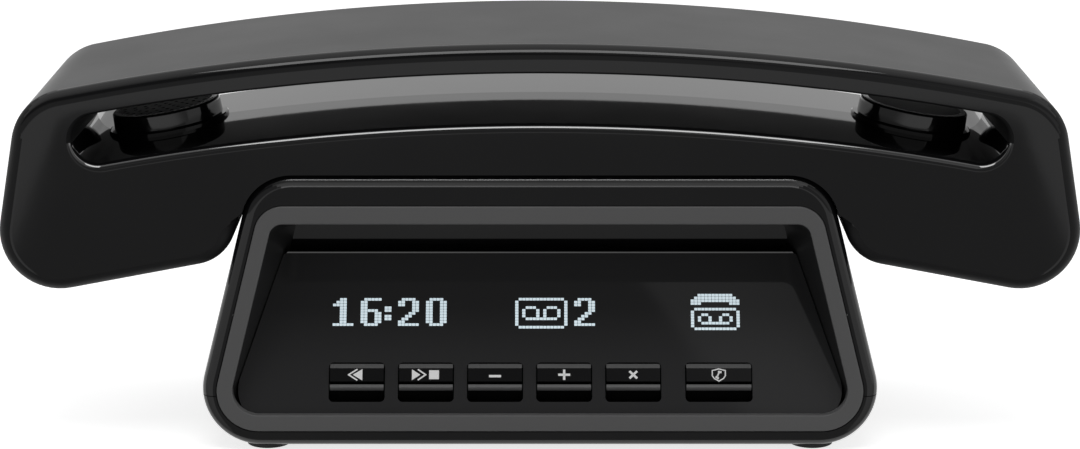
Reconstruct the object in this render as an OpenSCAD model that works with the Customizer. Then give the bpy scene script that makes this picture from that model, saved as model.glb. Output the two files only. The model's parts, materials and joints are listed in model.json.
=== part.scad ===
// Cordless desk phone: an arched handset with a through slot, lying over a small
// base whose framed front holds an inclined panel with a display and six keys.
// X runs along the handset, Y from front to back, Z up from the table.

/* [Handset] */
// Overall length of the handset
handset_l = 220; // [206:1:236]
// Radius of the crown's long arc
crown_r = 500; // [430:1:640]
// Thickness of the handle above the slot
handle_t = 5.9; // [4:0.1:9]
// Height of the slot between handle and body
slot_h = 10.4; // [7:0.1:16]
// Length of the slot, end to end
slot_l = 188.4; // [170:0.1:196]
// Rounding of the slot's mouth, front and back
slot_edge_r = 1.7; // [0.4:0.1:2]
// Draft of the slot, each way from its middle, in degrees
slot_draft = 1.8; // [0:0.1:2.5]
// Thickness of the body between slot and underside, at the middle
core_t = 9.6; // [8.2:0.1:14]
// How far the legs reach below the underside
leg_drop = 24.9; // [22:0.1:34]
// Lean of the leg bottoms, in degrees
leg_tilt = 10.8; // [6:0.1:14]
// Lean of the end faces, in degrees
end_tilt = 10; // [5:0.1:14]
// Corner radius at the crown's ends
crown_corner_r = 12; // [6:0.5:14]
// Corner radius at the outer foot of each leg
toe_r = 12; // [8:0.5:14]
// Corner radius at the inner foot of each leg
heel_r = 9.5; // [5:0.5:10.5]
// Rounding of the handset's long edges
handset_edge_r = 3; // [1:0.1:4]
// Wall of the handset's shell
shell_t = 2; // [1.6:0.1:2.4]
// Wall under the slot
floor_t = 1.5; // [1.2:0.1:1.9]

/* [Pucks in the slot] */
// Distance of each puck from the middle, along the arc
puck_x = 78; // [74:0.5:81]
// Diameter of a puck at its foot
puck_d = 25.4; // [22.5:0.1:26]
// Diameter of a puck's flat top
puck_top_d = 21.8; // [18:0.1:22.6]
// Height of a puck
puck_h = 4.4; // [3:0.1:5.5]
// Diameter of a puck's spigot through the floor
spigot_d = 18; // [15:0.1:19]
// Diameter of a sound hole in the speaker cap
sound_hole_d = 0.9; // [0.6:0.1:1.1]
// Rings of sound holes round the middle one
sound_rings = 4; // [2:1:5]

/* [Base] */
// Greatest width of the base
base_w = 139; // [130:1:150]
// Depth of the base, front to back
base_d = 58; // [56:1:70]
// Height of the base's body, without its feet
base_h = 57.5; // [53:0.1:64]
// Lean of the base's sides, in degrees
side_slope = 14.35; // [11:0.05:17]
// Corner radius at the foot of the base
base_bottom_r = 12; // [9:0.5:14]
// Corner radius at the top of the base
base_top_r = 10.5; // [5:0.5:11]
// Rounding of the base's front and back edges
base_edge_r = 2.4; // [1:0.1:2.8]
// Wall of the base's shell
base_wall = 2.2; // [1.8:0.1:2.4]
// Thickness of the front wall
front_t = 3; // [2.4:0.1:4]
// Height of the seam between housing and bottom cover
seam_z = 12; // [10.5:0.1:13.5]
// Diameter of a rubber foot
foot_d = 9; // [7:0.5:11]
// Distance of a foot's middle from the base's widest side
foot_in = 13; // [11:0.5:15]
// How far the feet stand out below the base
foot_h = 1; // [0.6:0.1:2]

/* [Front frame] */
// Black margin beside the grey ring
ring_side = 3.1; // [2.6:0.1:5]
// Black margin above the grey ring
ring_top = 6.4; // [5:0.1:8]
// Black margin below the grey ring
ring_bottom = 3.4; // [2.5:0.1:4]
// Width of the ring at its sides
ring_w_side = 3.2; // [2.6:0.1:4.5]
// Width of the ring at its top
ring_w_top = 3.8; // [2.6:0.1:5]
// Width of the ring at its bottom
ring_w_bottom = 3.5; // [3.4:0.1:5]
// Outer corner radius of the ring at its bottom
ring_bottom_r = 8.4; // [6.6:0.1:10]
// Outer corner radius of the ring at its top
ring_top_r = 6; // [5.4:0.1:8]
// Thickness of the ring
ring_t = 1.2; // [0.8:0.1:1.6]
// How far the ring stands proud of the front
ring_proud = 0.2; // [0:0.05:0.4]
// Depth of the recess behind the ring
recess_d = 25; // [24:0.1:27]
// Draft of the recess, in degrees
recess_taper = 10; // [6:0.1:12]
// Wall of the recess liner
liner_t = 1.4; // [1:0.1:1.6]

/* [Panel] */
// Lean of the panel from upright, in degrees
panel_tilt = 30.6; // [27:0.1:33]
// Length of the panel up its slope
panel_l = 35.1; // [34:0.1:37]
// Thickness of the panel
panel_t = 2; // [1.6:0.1:2.4]
// How far the panel's foot hides behind the ring
panel_lap = 1.9; // [1.6:0.1:2]
// Distance from the panel to the board behind it
board_gap = 5; // [4.6:0.1:5.6]
// Width of the display
display_w = 96; // [86:1:100]
// Height of the display
display_h = 13; // [10:0.1:15]
// Distance of the display's middle from the panel's foot
display_s = 23; // [22:0.1:25]

/* [Base keys] */
// Width of a key opening
key_w = 11.6; // [10:0.1:12]
// Width of the last, wider key opening
wide_key_w = 13.9; // [12.5:0.1:15]
// Height of a key opening
key_h = 8.4; // [7.6:0.1:9]
// Distance of the openings from the panel's foot
key_s = 2.7; // [2.6:0.1:4.4]
// Spacing of the five like keys
key_pitch = 14.3; // [14:0.1:15]
// Place of the first key, from the middle
first_key_x = -37.9; // [-39:0.1:-36]
// Gap between the fifth key and the wide one, middle to middle
wide_key_step = 17.7; // [17:0.1:19]
// Travel of a base key
key_travel = 0.6; // [0.3:0.05:0.8]

/* [Handset keypad] */
// Length of the keypad plate
plate_l = 106; // [104:0.5:108]
// Width of the keypad plate
plate_w = 42; // [41:0.1:43]
// Thickness of the keypad plate
plate_t = 1.4; // [1.2:0.1:1.5]
// Size of a number key along the handset
number_l = 7.6; // [6:0.1:8.4]
// Size of a number key across the handset
number_w = 9.6; // [8:0.1:10]
// Spacing of the keys along the handset
row_pitch = 11; // [10.4:0.1:11.4]
// Spacing of the keys across the handset
column_pitch = 11.8; // [11.4:0.1:12]
// Distance from the handset's lens to the middle of the function keys
function_step = 10; // [9.6:0.1:10.4]
// Travel of a keypad key
pad_travel = 0.45; // [0.2:0.05:0.5]
// Tilt of the menu rocker each way, in degrees
menu_tilt = 2.5; // [1:0.1:3]
// Length of the handset's display lens
lens_l = 28; // [24:0.1:29]
// Width of the handset's display lens
lens_w = 30; // [26:0.1:31]

/* [Charging] */
// Distance of a charging pin from the keypad plate's end
pin_end = 13; // [11:0.5:15]
// Rim of the keypad plate beside a charging pad
pad_rim = 0.8; // [0.6:0.05:1]
// Diameter of a charging pin's head
pin_d = 2.6; // [1.8:0.1:2.8]
// Travel of a charging pin
pin_travel = 0.5; // [0.2:0.05:0.8]

/* [Clearances] */
// Gap between the handset's underside and the base
cradle_gap = 0.6; // [0.5:0.05:0.9]
// Gap between the handset's legs and the base's sides
side_gap = 0.7; // [0.5:0.1:3]
// Gap round fixed pieces that fit in one another
fit = 0.15; // [0.1:0.01:0.25]
// Gap round a key in its opening
key_gap = 0.25; // [0.15:0.01:0.35]
// Gap round a charging pin in its bores
pin_gap = 0.3; // [0.3:0.01:0.4]

/* [Hidden] */
$fn = 48;

// Straight pieces in a corner arc, in the crown's half arc and in an edge's rounding
corner_n = 6;
crown_n = 14;
edge_n = 3;
// Reach of a cutter past the face that it cuts
past = 1;

// Heights in the stack of base and handset
base_z = foot_h;
base_top = base_z + base_h;
under_z = base_top + cradle_gap;
crown_z = under_z + core_t + slot_h + handle_t;
crown_o = [0, crown_z - crown_r];
floor_r = crown_r - handle_t - slot_h;
leg_low = under_z - leg_drop;

// The handset is as deep as the base, so that their faces are flush
handset_d = base_d;
front_y = -base_d / 2;
back_y = base_d / 2;

// Distance of the base's side line from the origin, along the side's own normal
side_k = cos(side_slope) * (base_w / 2 - base_bottom_r) + sin(side_slope) * (base_z + base_bottom_r)
    + base_bottom_r;

// Points along an arc
function arc(c, r, from, to, n) =
    [for (i = [0:n]) let (a = from + (to - from) * i / n) c + r * [cos(a), sin(a)]];

// Unit vector at an angle
function along(a) = [cos(a), sin(a)];

// Point where two lines meet, each given by its normal's angle and its distance from the origin
function meet(a, p, b, q) =
    let (det = sin(b - a)) [(p * sin(b) - q * sin(a)) / det, (q * cos(a) - p * cos(b)) / det];

// A right half outline, closed by its mirror image
function both_halves(p) = concat(p, [for (i = [len(p) - 1:-1:0]) [-p[i][0], p[i][1]]]);

// Outline of the base's kind: flat foot and top, leaning sides and round corners
function frame_outline(z0, z1, side, r0, r1) =
    let (k = side_k - side)
    both_halves(concat(
        arc(meet(side_slope, k - r0, 90, z0 + r0), r0, -90, side_slope, corner_n),
        arc(meet(side_slope, k - r1, 90, z1 - r1), r1, side_slope, 90, corner_n)));

// Outline of the base, drawn in by d all round
function base_outline(d) =
    frame_outline(base_z + d, base_top - d, d, base_bottom_r - d, base_top_r - d);

// Outline of the ring's outer edge, drawn in by d
function ring_outline(d) =
    frame_outline(base_z + ring_bottom + d, base_top - ring_top - d, ring_side + d,
        ring_bottom_r - d, ring_top_r - d);

// Heights and side margin of the ring's inner edge
ring_in_z0 = base_z + ring_bottom + ring_w_bottom;
ring_in_z1 = base_top - ring_top - ring_w_top;
ring_in_side = ring_side + ring_w_side;
ring_in_r0 = ring_bottom_r - ring_w_side;
ring_in_r1 = ring_top_r - ring_w_side;

// Outline of the recess at a depth behind the ring, let out by g; its foot lies below the ring's
function recess_outline(depth, g) =
    let (t = depth * tan(recess_taper) - g)
    frame_outline(ring_in_z0 - panel_lap + t, ring_in_z1 - t, ring_in_side + t,
        ring_in_r0 + g, ring_in_r1 + g);

// Corner centres of the handset's right half
leg_n = 270 - leg_tilt;
leg_k = side_k + side_gap;
notch_r = base_top_r + side_gap;
toe_c = [handset_l / 2 - toe_r, leg_low + toe_r];
leg_line = along(leg_n) * toe_c + toe_r;
heel_c = meet(leg_n, leg_line - heel_r, side_slope, leg_k + heel_r);
notch_c = meet(side_slope, leg_k - notch_r, 90, under_z - notch_r);
end_line = along(end_tilt) * toe_c + toe_r;
crown_foot = along(end_tilt) * (end_line - crown_corner_r) - crown_o;
crown_lift = along(end_tilt + 90) * crown_foot;
crown_reach = crown_r - crown_corner_r;
crown_c = crown_o + crown_foot + along(end_tilt + 90)
    * (sqrt(crown_lift * crown_lift - crown_foot * crown_foot + crown_reach * crown_reach) - crown_lift);
crown_end = atan2(crown_c[1] - crown_o[1], crown_c[0] - crown_o[0]);

// Outline of the handset, drawn in by d all round but less at the underside, whose edge is sharper
under_share = 0.15;
function handset_outline(d) =
    both_halves(concat(
        arc(notch_c, notch_r + under_share * d, 90, side_slope, corner_n),
        arc(heel_c, heel_r - d, 180 + side_slope, leg_n, corner_n),
        arc(toe_c, toe_r - d, leg_n, 360 + end_tilt, corner_n),
        arc(crown_c, crown_corner_r - d, end_tilt, crown_end, corner_n),
        [for (p = arc(crown_o, crown_r - d, crown_end, 90, crown_n)) if (p[0] > 0.01) p]));

// Outline of the slot, let out by d
slot_r = floor_r + slot_h / 2;
slot_a = asin((slot_l / 2 - slot_h / 2) / slot_r);
slot_in = tan(slot_draft) * handset_d / 2;
function slot_outline(d) =
    let (e = slot_r * [sin(slot_a), cos(slot_a)], r = slot_h / 2 + d)
    concat(
        arc(crown_o, slot_r - r, 90 + slot_a, 90 - slot_a, 2 * crown_n),
        arc(crown_o + e, r, -90 - slot_a, 90 - slot_a, 2 * corner_n),
        arc(crown_o, slot_r + r, 90 - slot_a, 90 + slot_a, 2 * crown_n),
        arc(crown_o + [-e[0], e[1]], r, 90 + slot_a, 270 + slot_a, 2 * corner_n));

// Stations [y, inset] of a quarter-round edge at the front and at the back
function edge_stations(y0, y1, r) =
    let (a = [for (i = [0:edge_n]) 90 * i / edge_n])
    concat([for (t = a) [y0 + r * (1 - cos(t)), r * (1 - sin(t))]],
        [for (i = [edge_n:-1:0]) [y1 - r * (1 - cos(a[i])), r * (1 - sin(a[i]))]]);

// Faces of the handset's flat ends: each leg as a fan from its outer corner, and the crown between them
leg_far = 3 * (corner_n + 1);
leg_top = leg_far + corner_n + 1;
function handset_ends(n) =
    let (leg = concat([for (i = [0:leg_top - 1]) if (i < leg_far - 1 || i > leg_far) [leg_far, i, i + 1]],
        [[leg_far, leg_top, 0]]))
    concat(leg, [for (f = leg) [for (i = [2:-1:0]) n - 1 - f[i]]],
        [concat([0], [for (i = [leg_top:n - 1 - leg_top]) i], [n - 1])]);

// Solid through a row of [y, outline] sections that have the same count of points; ends that aren't
// one convex face are given as faces
module loft(sections, ends = []) {
    n = len(sections[0][1]);
    m = len(sections);
    points = [for (s = sections) for (p = s[1]) [p[0], s[0], p[1]]];
    end_faces = len(ends) > 0 ? ends : [[for (i = [0:n - 1]) i]];
    front = [for (f = end_faces) [for (i = [len(f) - 1:-1:0]) f[i]]];
    back = [for (f = end_faces) [for (i = f) i + (m - 1) * n]];
    sides = [for (k = [0:m - 2]) for (i = [0:n - 1]) let (a = k * n + i, b = k * n + (i + 1) % n)
        for (f = [[a, b, b + n], [a, b + n, a + n]]) f];
    polyhedron(points, concat(front, back, sides));
}

// Straight solid of an outline between two depths
module prism(outline, y0, y1) {
    translate([0, y1, 0]) rotate([90, 0, 0]) linear_extrude(y1 - y0) polygon(outline);
}

// Box by its lowest and highest corners
module block(low, high) {
    translate(low) cube(high - low);
}

// Places across the middle, the second mirrored
module pair() {
    children();
    mirror([1, 0, 0]) children();
}

// Pieces of the base's shell: outer form, hollow, and what the front lets through
module base_form() {
    loft([for (s = edge_stations(front_y, back_y, base_edge_r)) [s[0], base_outline(s[1])]]);
}

liner_y = front_y + ring_t - ring_proud;
liner_back = front_y + recess_d;

module base_hollow() {
    prism(base_outline(base_wall), front_y + front_t, back_y - base_wall);
    prism(ring_outline(-fit), front_y - past, liner_y);
    prism(recess_outline(0, liner_t + fit), front_y, front_y + front_t + past);
}

// Sockets in the back wall
jack_size = [9, 12, 11];
socket_size = [13, 14, 11.6];
board_z = base_z + base_wall + 1.6;
main_board_t = 1.6;
socket_z = board_z + main_board_t;

module socket_cut(x, size) {
    block([x - size[0] / 2 - fit, back_y - size[1], socket_z - fit],
        [x + size[0] / 2 + fit, back_y + past, socket_z + size[2] + fit]);
}

// Places and sizes of the charging pins, of their block and of the pads that they meet
pad_d = pin_d + 0.6;
pad_t = 0.6;
pin_x = plate_l / 2 - pin_end;
pin_y = plate_w / 2 - pad_d / 2 - pad_rim;
pin_out = cradle_gap / 2;
shoulder_d = pin_d + 1.6;
shoulder_h = 0.8;
shank_d = pin_d - 0.9;
block_h = 6;
block_half = shoulder_d / 2 + pin_gap + 1;
block_z = base_top - base_wall;

// Screw posts of the housing
post_d = 7;
post_x = pin_x + block_half + post_d / 2 + 4 * fit;
screw_d = 2.6;
screw_head_d = 5.4;
foot_x = base_w / 2 - foot_in;
foot_y = back_y - base_edge_r - foot_d / 2;
post_ys = [3.9, foot_y - foot_d / 2 - screw_head_d / 2 - 3 * fit];
screw_head_h = 2.2;
screw_grip = 7;

module base_housing() {
    color("#1b1b1d") difference() {
        union() {
            difference() {
                base_form();
                base_hollow();
            }
            for (y = post_ys) pair() translate([post_x, y, seam_z])
                cylinder(d = post_d, h = base_top - base_wall / 2 - seam_z);
        }
        block([-base_w, front_y - past, 0], [base_w, back_y + past, seam_z]);
        for (y = post_ys) pair() translate([post_x, y, seam_z - past])
            cylinder(d = screw_d + 2 * fit, h = screw_grip + 2 * past);
        socket_cut(jack_x, jack_size);
        socket_cut(socket_x, socket_size);
        pair() translate([pin_x, pin_y, base_top - base_wall - past])
            cylinder(d = pin_d + 2 * pin_gap, h = base_wall + 2 * past);
    }
}

// The bottom cover: the shell below the seam, with stands for the board and the speaker
speaker_d = 24;
speaker_x = (post_d + speaker_d) / 2 + 2 * fit - post_x;
speaker_y = 12;
stand_d = 5;
board_x0 = speaker_x + speaker_d / 2 + 1.4;
board_x1 = post_x - post_d / 2 - 0.6;
jack_x = board_x1 - jack_size[0] / 2 - 0.7;
socket_x = jack_x - jack_size[0] / 2 - socket_size[0] / 2 - 7;
board_y0 = -2.2;
board_y1 = back_y - base_wall - 1;
stands = [for (x = [board_x0 + 4, board_x1 - 4]) for (y = [board_y0 + 3, board_y1 - 3]) [x, y]];
foot_set = 0.8;

module bottom_cover() {
    color("#161618") difference() {
        union() {
            difference() {
                base_form();
                base_hollow();
            }
            for (p = stands) translate([p[0], p[1], base_z + base_wall / 2])
                cylinder(d = stand_d, h = board_z - base_z - base_wall / 2);
            for (y = post_ys) pair() translate([post_x, y, base_z + base_wall / 2])
                cylinder(d = post_d, h = seam_z - fit - base_z - base_wall / 2);
        }
        block([-base_w, front_y - past, seam_z - fit], [base_w, back_y + past, base_top + past]);
        for (y = post_ys) pair() translate([post_x, y, base_z - past]) {
            cylinder(d = screw_d + 2 * fit, h = seam_z);
            cylinder(d = screw_head_d + 2 * fit, h = screw_head_h + past + fit);
        }
        for (y = [-foot_y, foot_y]) pair() translate([foot_x, y, base_z - past])
            cylinder(d = foot_d + 2 * fit, h = foot_set + past);
        for (i = [-3:3]) translate([speaker_x + i * 2.8, speaker_y, base_z - past])
            translate([-0.7, -sqrt(100 - i * i * 8), 0])
            cube([1.4, 2 * sqrt(100 - i * i * 8), base_wall + 2 * past]);
        socket_cut(jack_x, jack_size);
        socket_cut(socket_x, socket_size);
    }
}

module bezel_ring() {
    color("#6a6a6c") difference() {
        prism(ring_outline(0), front_y - ring_proud, liner_y);
        prism(frame_outline(ring_in_z0, ring_in_z1, ring_in_side, ring_in_r0, ring_in_r1),
            front_y - past, front_y + front_t);
    }
}

// The panel's own frame: origin at the middle of its foot, Y into the base, Z up its slope
panel_y = liner_y + fit;
panel_z = ring_in_z0 - panel_lap + panel_t * sin(panel_tilt)
    + (panel_y - liner_y + panel_t * cos(panel_tilt)) * tan(recess_taper) + 2 * fit;

module on_panel() {
    translate([0, panel_y, panel_z]) rotate([-panel_tilt, 0, 0]) children();
}

// Half width of the recess where the panel's back lies, s up the slope
function panel_half(s) =
    let (depth = panel_y - liner_y + s * sin(panel_tilt) + panel_t * cos(panel_tilt),
        z = panel_z + s * cos(panel_tilt) - panel_t * sin(panel_tilt),
        k = side_k - ring_in_side - depth * tan(recess_taper))
    (k - sin(side_slope) * z) / cos(side_slope) - fit;

// Rails that carry the panel: reach in from the recess's walls, depth, and ends up the slope
rail_w = 3;
rail_d = 3;
rail_seat = liner_t / 2;
rail_s = [key_s + key_h + 1, panel_l - 1];

module recess_liner() {
    depth = liner_back - liner_y;
    color("#242426") union() {
        loft([[liner_back, recess_outline(depth, 0)], [liner_y, recess_outline(0, 0)],
            [liner_y, recess_outline(0, liner_t)],
            [liner_back + liner_t, recess_outline(depth + liner_t, liner_t)]]);
        pair() on_panel() prism([
            [panel_half(rail_s[0]) - rail_w, rail_s[0]], [panel_half(rail_s[0]) + rail_seat, rail_s[0]],
            [panel_half(rail_s[1]) + rail_seat, rail_s[1]], [panel_half(rail_s[1]) - rail_w, rail_s[1]]],
            panel_t, panel_t + rail_d);
    }
}

// Places of the base keys along the panel
key_xs = [for (i = [0:4]) first_key_x + i * key_pitch];
key_places = concat([for (x = key_xs) [x, key_w]], [[key_xs[4] + wide_key_step, wide_key_w]]);
stud_d = 4;
stud_xs = [key_xs[0] - key_w / 2 - 3.2, key_xs[4] + wide_key_step + wide_key_w / 2 + 3.2];
stud_s = key_s + key_h / 2;
window_t = 0.8;

module display_panel() {
    foot = panel_half(0) - 6;
    top = panel_half(panel_l) - 0.6;
    color("#17181a") on_panel() difference() {
        union() {
            prism([[-foot, 0], [foot, 0], [panel_half(8), 8], [panel_half(panel_l - 0.6), panel_l - 0.6],
                [top, panel_l], [-top, panel_l], [-panel_half(panel_l - 0.6), panel_l - 0.6],
                [-panel_half(8), 8]], 0, panel_t);
            for (x = stud_xs) translate([x, panel_t / 2, stud_s]) rotate([-90, 0, 0])
                cylinder(d = stud_d, h = board_gap + panel_t / 2);
        }
        for (k = key_places) block([k[0] - k[1] / 2, -past, key_s],
            [k[0] + k[1] / 2, panel_t + past, key_s + key_h]);
        block([-display_w / 2 - fit, window_t, display_s - display_h / 2 - fit],
            [display_w / 2 + fit, panel_t + past, display_s + display_h / 2 + fit]);
    }
}

module display_module() {
    module_t = 2.4;
    color("#0d1013") on_panel() block([-display_w / 2, window_t, display_s - display_h / 2],
        [display_w / 2, window_t + module_t, display_s + display_h / 2]);
}

// A base key: a proud icon strip over a lower lip, with a flange and a stem behind the panel
flange_t = 0.8;
flange_out = 0.7;
stem_w = 3;
switch_h = 0.5;
flange_y = panel_t + fit;
stem_end = panel_t + board_gap - switch_h - key_travel - fit;

module base_key(place) {
    half = place[1] / 2 - key_gap;
    z0 = key_s + key_gap;
    z1 = key_s + key_h - key_gap;
    lip_z = z0 + 2.2;
    step_z = lip_z + 1.2;
    face_z = step_z + 0.5;
    chamfer_z = z1 - 1.1;
    color("#2b2b2d") on_panel() translate([place[0], 0, 0]) union() {
        rotate([0, -90, 0]) mirror([0, 0, 1]) translate([0, 0, -half]) linear_extrude(2 * half)
            polygon([[z0, flange_y], [z0, 1.8], [lip_z, 0.2], [lip_z + 0.5, -0.2], [step_z, -0.2],
                [step_z, 0.5], [face_z, 0.5], [face_z, -0.5], [chamfer_z, -0.5], [z1, 0.3],
                [z1, flange_y]]);
        block([-half - flange_out, flange_y, z0 - flange_out / 2],
            [half + flange_out, flange_y + flange_t, z1 + flange_out / 2]);
        block([-stem_w / 2, flange_y, stud_s - stem_w / 2],
            [stem_w / 2, stem_end, stud_s + stem_w / 2]);
    }
}

key_board_t = 1.2;
switch_d = 4.6;
switch_top_d = 3;

module key_board() {
    color("#1f5a3a") on_panel() block(
        [stud_xs[0] - stud_d / 2, panel_t + board_gap, stud_s - stud_d / 2 + 0.5],
        [stud_xs[1] + stud_d / 2, panel_t + board_gap + key_board_t, key_s + key_h]);
}

module key_switches() {
    color("#c9c9c4") on_panel() for (k = key_places)
        translate([k[0], panel_t + board_gap, stud_s]) rotate([90, 0, 0])
        cylinder(d1 = switch_d, d2 = switch_top_d, h = switch_h);
}

module main_board() {
    color("#1f5a3a") block([board_x0, board_y0, board_z], [board_x1, board_y1, board_z + main_board_t]);
}

module base_speaker() {
    frame_h = 2.4;
    magnet_h = 4;
    color("#3a3a3c") translate([speaker_x, speaker_y, base_z + base_wall]) union() {
        cylinder(d = speaker_d, h = frame_h);
        translate([0, 0, frame_h]) cylinder(d1 = speaker_d - 4, d2 = speaker_d - 9, h = 1.6);
        translate([0, 0, frame_h + 1.6]) cylinder(d = speaker_d - 9, h = magnet_h);
    }
}

// Sockets for the power lead and the line lead, open to the back
module power_jack() {
    mouth_d = 6;
    tip_d = 2;
    color("#111111") difference() {
        block([jack_x - jack_size[0] / 2, back_y - jack_size[1], socket_z],
            [jack_x + jack_size[0] / 2, back_y - base_wall / 2, socket_z + jack_size[2]]);
        translate([jack_x, back_y + past, socket_z + jack_size[2] / 2]) rotate([90, 0, 0]) difference() {
            cylinder(d = mouth_d, h = jack_size[1] - 1);
            translate([0, 0, -past]) cylinder(d = tip_d, h = jack_size[1] + 2 * past);
            translate([0, 0, -past]) cylinder(d = mouth_d + 1, h = base_wall / 2 + past);
        }
    }
}

module line_socket() {
    mouth = [9.6, 7.4];
    tab = [4, 2];
    z = socket_z + 1.4;
    color("#202022") difference() {
        block([socket_x - socket_size[0] / 2, back_y - socket_size[1], socket_z],
            [socket_x + socket_size[0] / 2, back_y - base_wall / 2, socket_z + socket_size[2]]);
        block([socket_x - mouth[0] / 2, back_y - socket_size[1] + 1.5, z],
            [socket_x + mouth[0] / 2, back_y, z + mouth[1]]);
        block([socket_x - tab[0] / 2, back_y - socket_size[1] + 1.5, z],
            [socket_x + tab[0] / 2, back_y, z + mouth[1] + tab[1]]);
    }
}

// Charging pins and their block under the base's top
module charge_block() {
    color("#2c2c2e") difference() {
        block([-pin_x - block_half, pin_y - block_half, block_z - block_h],
            [pin_x + block_half, pin_y + block_half, block_z]);
        pair() translate([pin_x, pin_y, block_z - block_h - past]) {
            cylinder(d = shank_d + 2 * pin_gap, h = block_h + 2 * past);
            translate([0, 0, block_h - shoulder_h - pin_travel - 2 * fit + past])
                cylinder(d = shoulder_d + 2 * pin_gap, h = shoulder_h + pin_travel + 2 * fit + past);
        }
    }
}

module charge_pin(side) {
    color("#d8b45a") translate([side * pin_x, pin_y, block_z]) union() {
        cylinder(d = pin_d, h = base_wall + pin_out);
        translate([0, 0, -fit - shoulder_h]) cylinder(d = shoulder_d, h = shoulder_h);
        translate([0, 0, -block_h]) cylinder(d = shank_d, h = block_h + base_wall);
    }
}

module rubber_feet() {
    color("#101010") for (y = [-foot_y, foot_y]) pair() translate([foot_x, y, 0])
        cylinder(d = foot_d, h = base_z + foot_set);
}

module base_screws() {
    color("#b9bbbd") for (y = post_ys) pair() translate([post_x, y, base_z + fit]) union() {
        cylinder(d = screw_head_d, h = screw_head_h);
        cylinder(d = screw_d, h = seam_z - base_z + screw_grip - past);
    }
}

// Frame of a leg's bottom: origin at the middle of its flat, Z into the leg, on the right leg
leg_a = toe_c + toe_r * along(leg_n);
leg_b = heel_c + heel_r * along(leg_n);
leg_mid = (leg_a + leg_b) / 2;
leg_flat = norm(leg_a - leg_b);

module on_leg(side) {
    mirror([side < 0 ? 1 : 0, 0, 0]) translate([leg_mid[0], 0, leg_mid[1]])
        rotate([0, leg_tilt, 0]) children();
}

// Frame of a puck: origin on its seat in the slot's floor, Z away from the crown's centre
puck_a = asin(puck_x / floor_r);
seat_r = floor_r + slot_in / 2;

module on_floor(side) {
    translate([0, 0, crown_o[1]]) rotate([0, side * puck_a, 0]) translate([0, 0, seat_r]) children();
}

// Stack above the keypad plate
plate_top = under_z + plate_t;
pad_flange_t = 0.4;
pad_flange_z = plate_top + fit / 2;
mat_z = pad_flange_z + pad_flange_t + pad_travel + fit / 2;
mat_t = 0.6;
pad_board_z = mat_z + mat_t;
pad_board_t = 0.8;
ledge_w = 1.5;
leg_cover_l = leg_flat - 1;
leg_cover_w = handset_d - 2 * handset_edge_r - 3;
leg_cover_t = shell_t - 0.5;
board_boss_x = plate_l / 2 - 7;
board_boss_y = plate_w / 2 - ledge_w - 3;
board_boss_d = 3.4;

// Height of the hollow's roof at a distance from the middle
function roof_z(x) = crown_o[1] + sqrt(roof_r * roof_r - x * x);

// Outline of the hollow: the handset's own outline drawn in, with the roof under the slot's floor
roof_r = floor_r - floor_t;
roof_a = end_tilt + acos((end_line - shell_t - along(end_tilt) * crown_o) / roof_r);
hollow_outline = both_halves(concat(
    arc(notch_c, notch_r + shell_t, 90, side_slope, corner_n),
    arc(heel_c, heel_r - shell_t, 180 + side_slope, leg_n, corner_n),
    arc(toe_c, toe_r - shell_t, leg_n, 360 + end_tilt, corner_n),
    [for (p = arc(crown_o, roof_r, roof_a, 90, crown_n)) if (p[0] > 0.01) p]));

module handset_hollow() {
    half_d = handset_d / 2 - shell_t;
    boss_z = pad_board_z + pad_board_t;
    difference() {
        prism(hollow_outline, -half_d, half_d);
        for (y = [-board_boss_y, board_boss_y]) pair() translate([board_boss_x, y, boss_z])
            cylinder(d = board_boss_d, h = roof_z(board_boss_x) - boss_z + past);
        on_leg(1) for (side = [-1, 1]) for (x = [-cell_x, cell_x])
            translate([x, side * (cell_l / 2 + contact_t + fit), cell_z]) rotate([-90 * side, 0, 0])
            cylinder(d = contact_d, h = handset_d / 2);
    }
}

module handset_housing() {
    face = handset_d / 2;
    mouth = edge_stations(-face, face, slot_edge_r);
    half_n = len(mouth) / 2;
    color("#1d1d1f") difference() {
        loft([for (s = edge_stations(-face, face, handset_edge_r)) [s[0], handset_outline(s[1])]],
            handset_ends(len(handset_outline(0))));
        loft(concat([[-face - past, slot_outline(slot_edge_r)]],
            [for (i = [0:half_n - 1]) [mouth[i][0], slot_outline(mouth[i][1])]],
            [[0, slot_outline(-slot_in)]],
            [for (i = [half_n:2 * half_n - 1]) [mouth[i][0], slot_outline(mouth[i][1])]],
            [[face + past, slot_outline(slot_edge_r)]]));
        block([-plate_l / 2 - fit, -plate_w / 2 - fit, under_z - past],
            [plate_l / 2 + fit, plate_w / 2 + fit, plate_top + fit / 2]);
        block([-plate_l / 2 + ledge_w, -plate_w / 2 + ledge_w, under_z],
            [plate_l / 2 - ledge_w, plate_w / 2 - ledge_w, under_z + shell_t + past / 2]);
        for (side = [-1, 1]) {
            on_leg(side) block([-leg_cover_l / 2 - fit, -leg_cover_w / 2 - fit, -past],
                [leg_cover_l / 2 + fit, leg_cover_w / 2 + fit, leg_cover_t + fit / 2]);
            on_leg(side) block([-leg_cover_l / 2 + ledge_w, -leg_cover_w / 2 + ledge_w, 0],
                [leg_cover_l / 2 - ledge_w, leg_cover_w / 2 - ledge_w, shell_t + past]);
            on_floor(side) cylinder(d = puck_d + 2 * fit, h = slot_in + past);
            on_floor(side) translate([0, 0, -floor_t - past])
                cylinder(d = spigot_d + 2 * fit, h = floor_t + 2 * past);
        }
        translate([mic_x, 0, mic_z]) rotate([0, 90 - end_tilt, 0]) cylinder(d = 1.4, h = 4 * shell_t);
        handset_hollow();
    }
}

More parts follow.
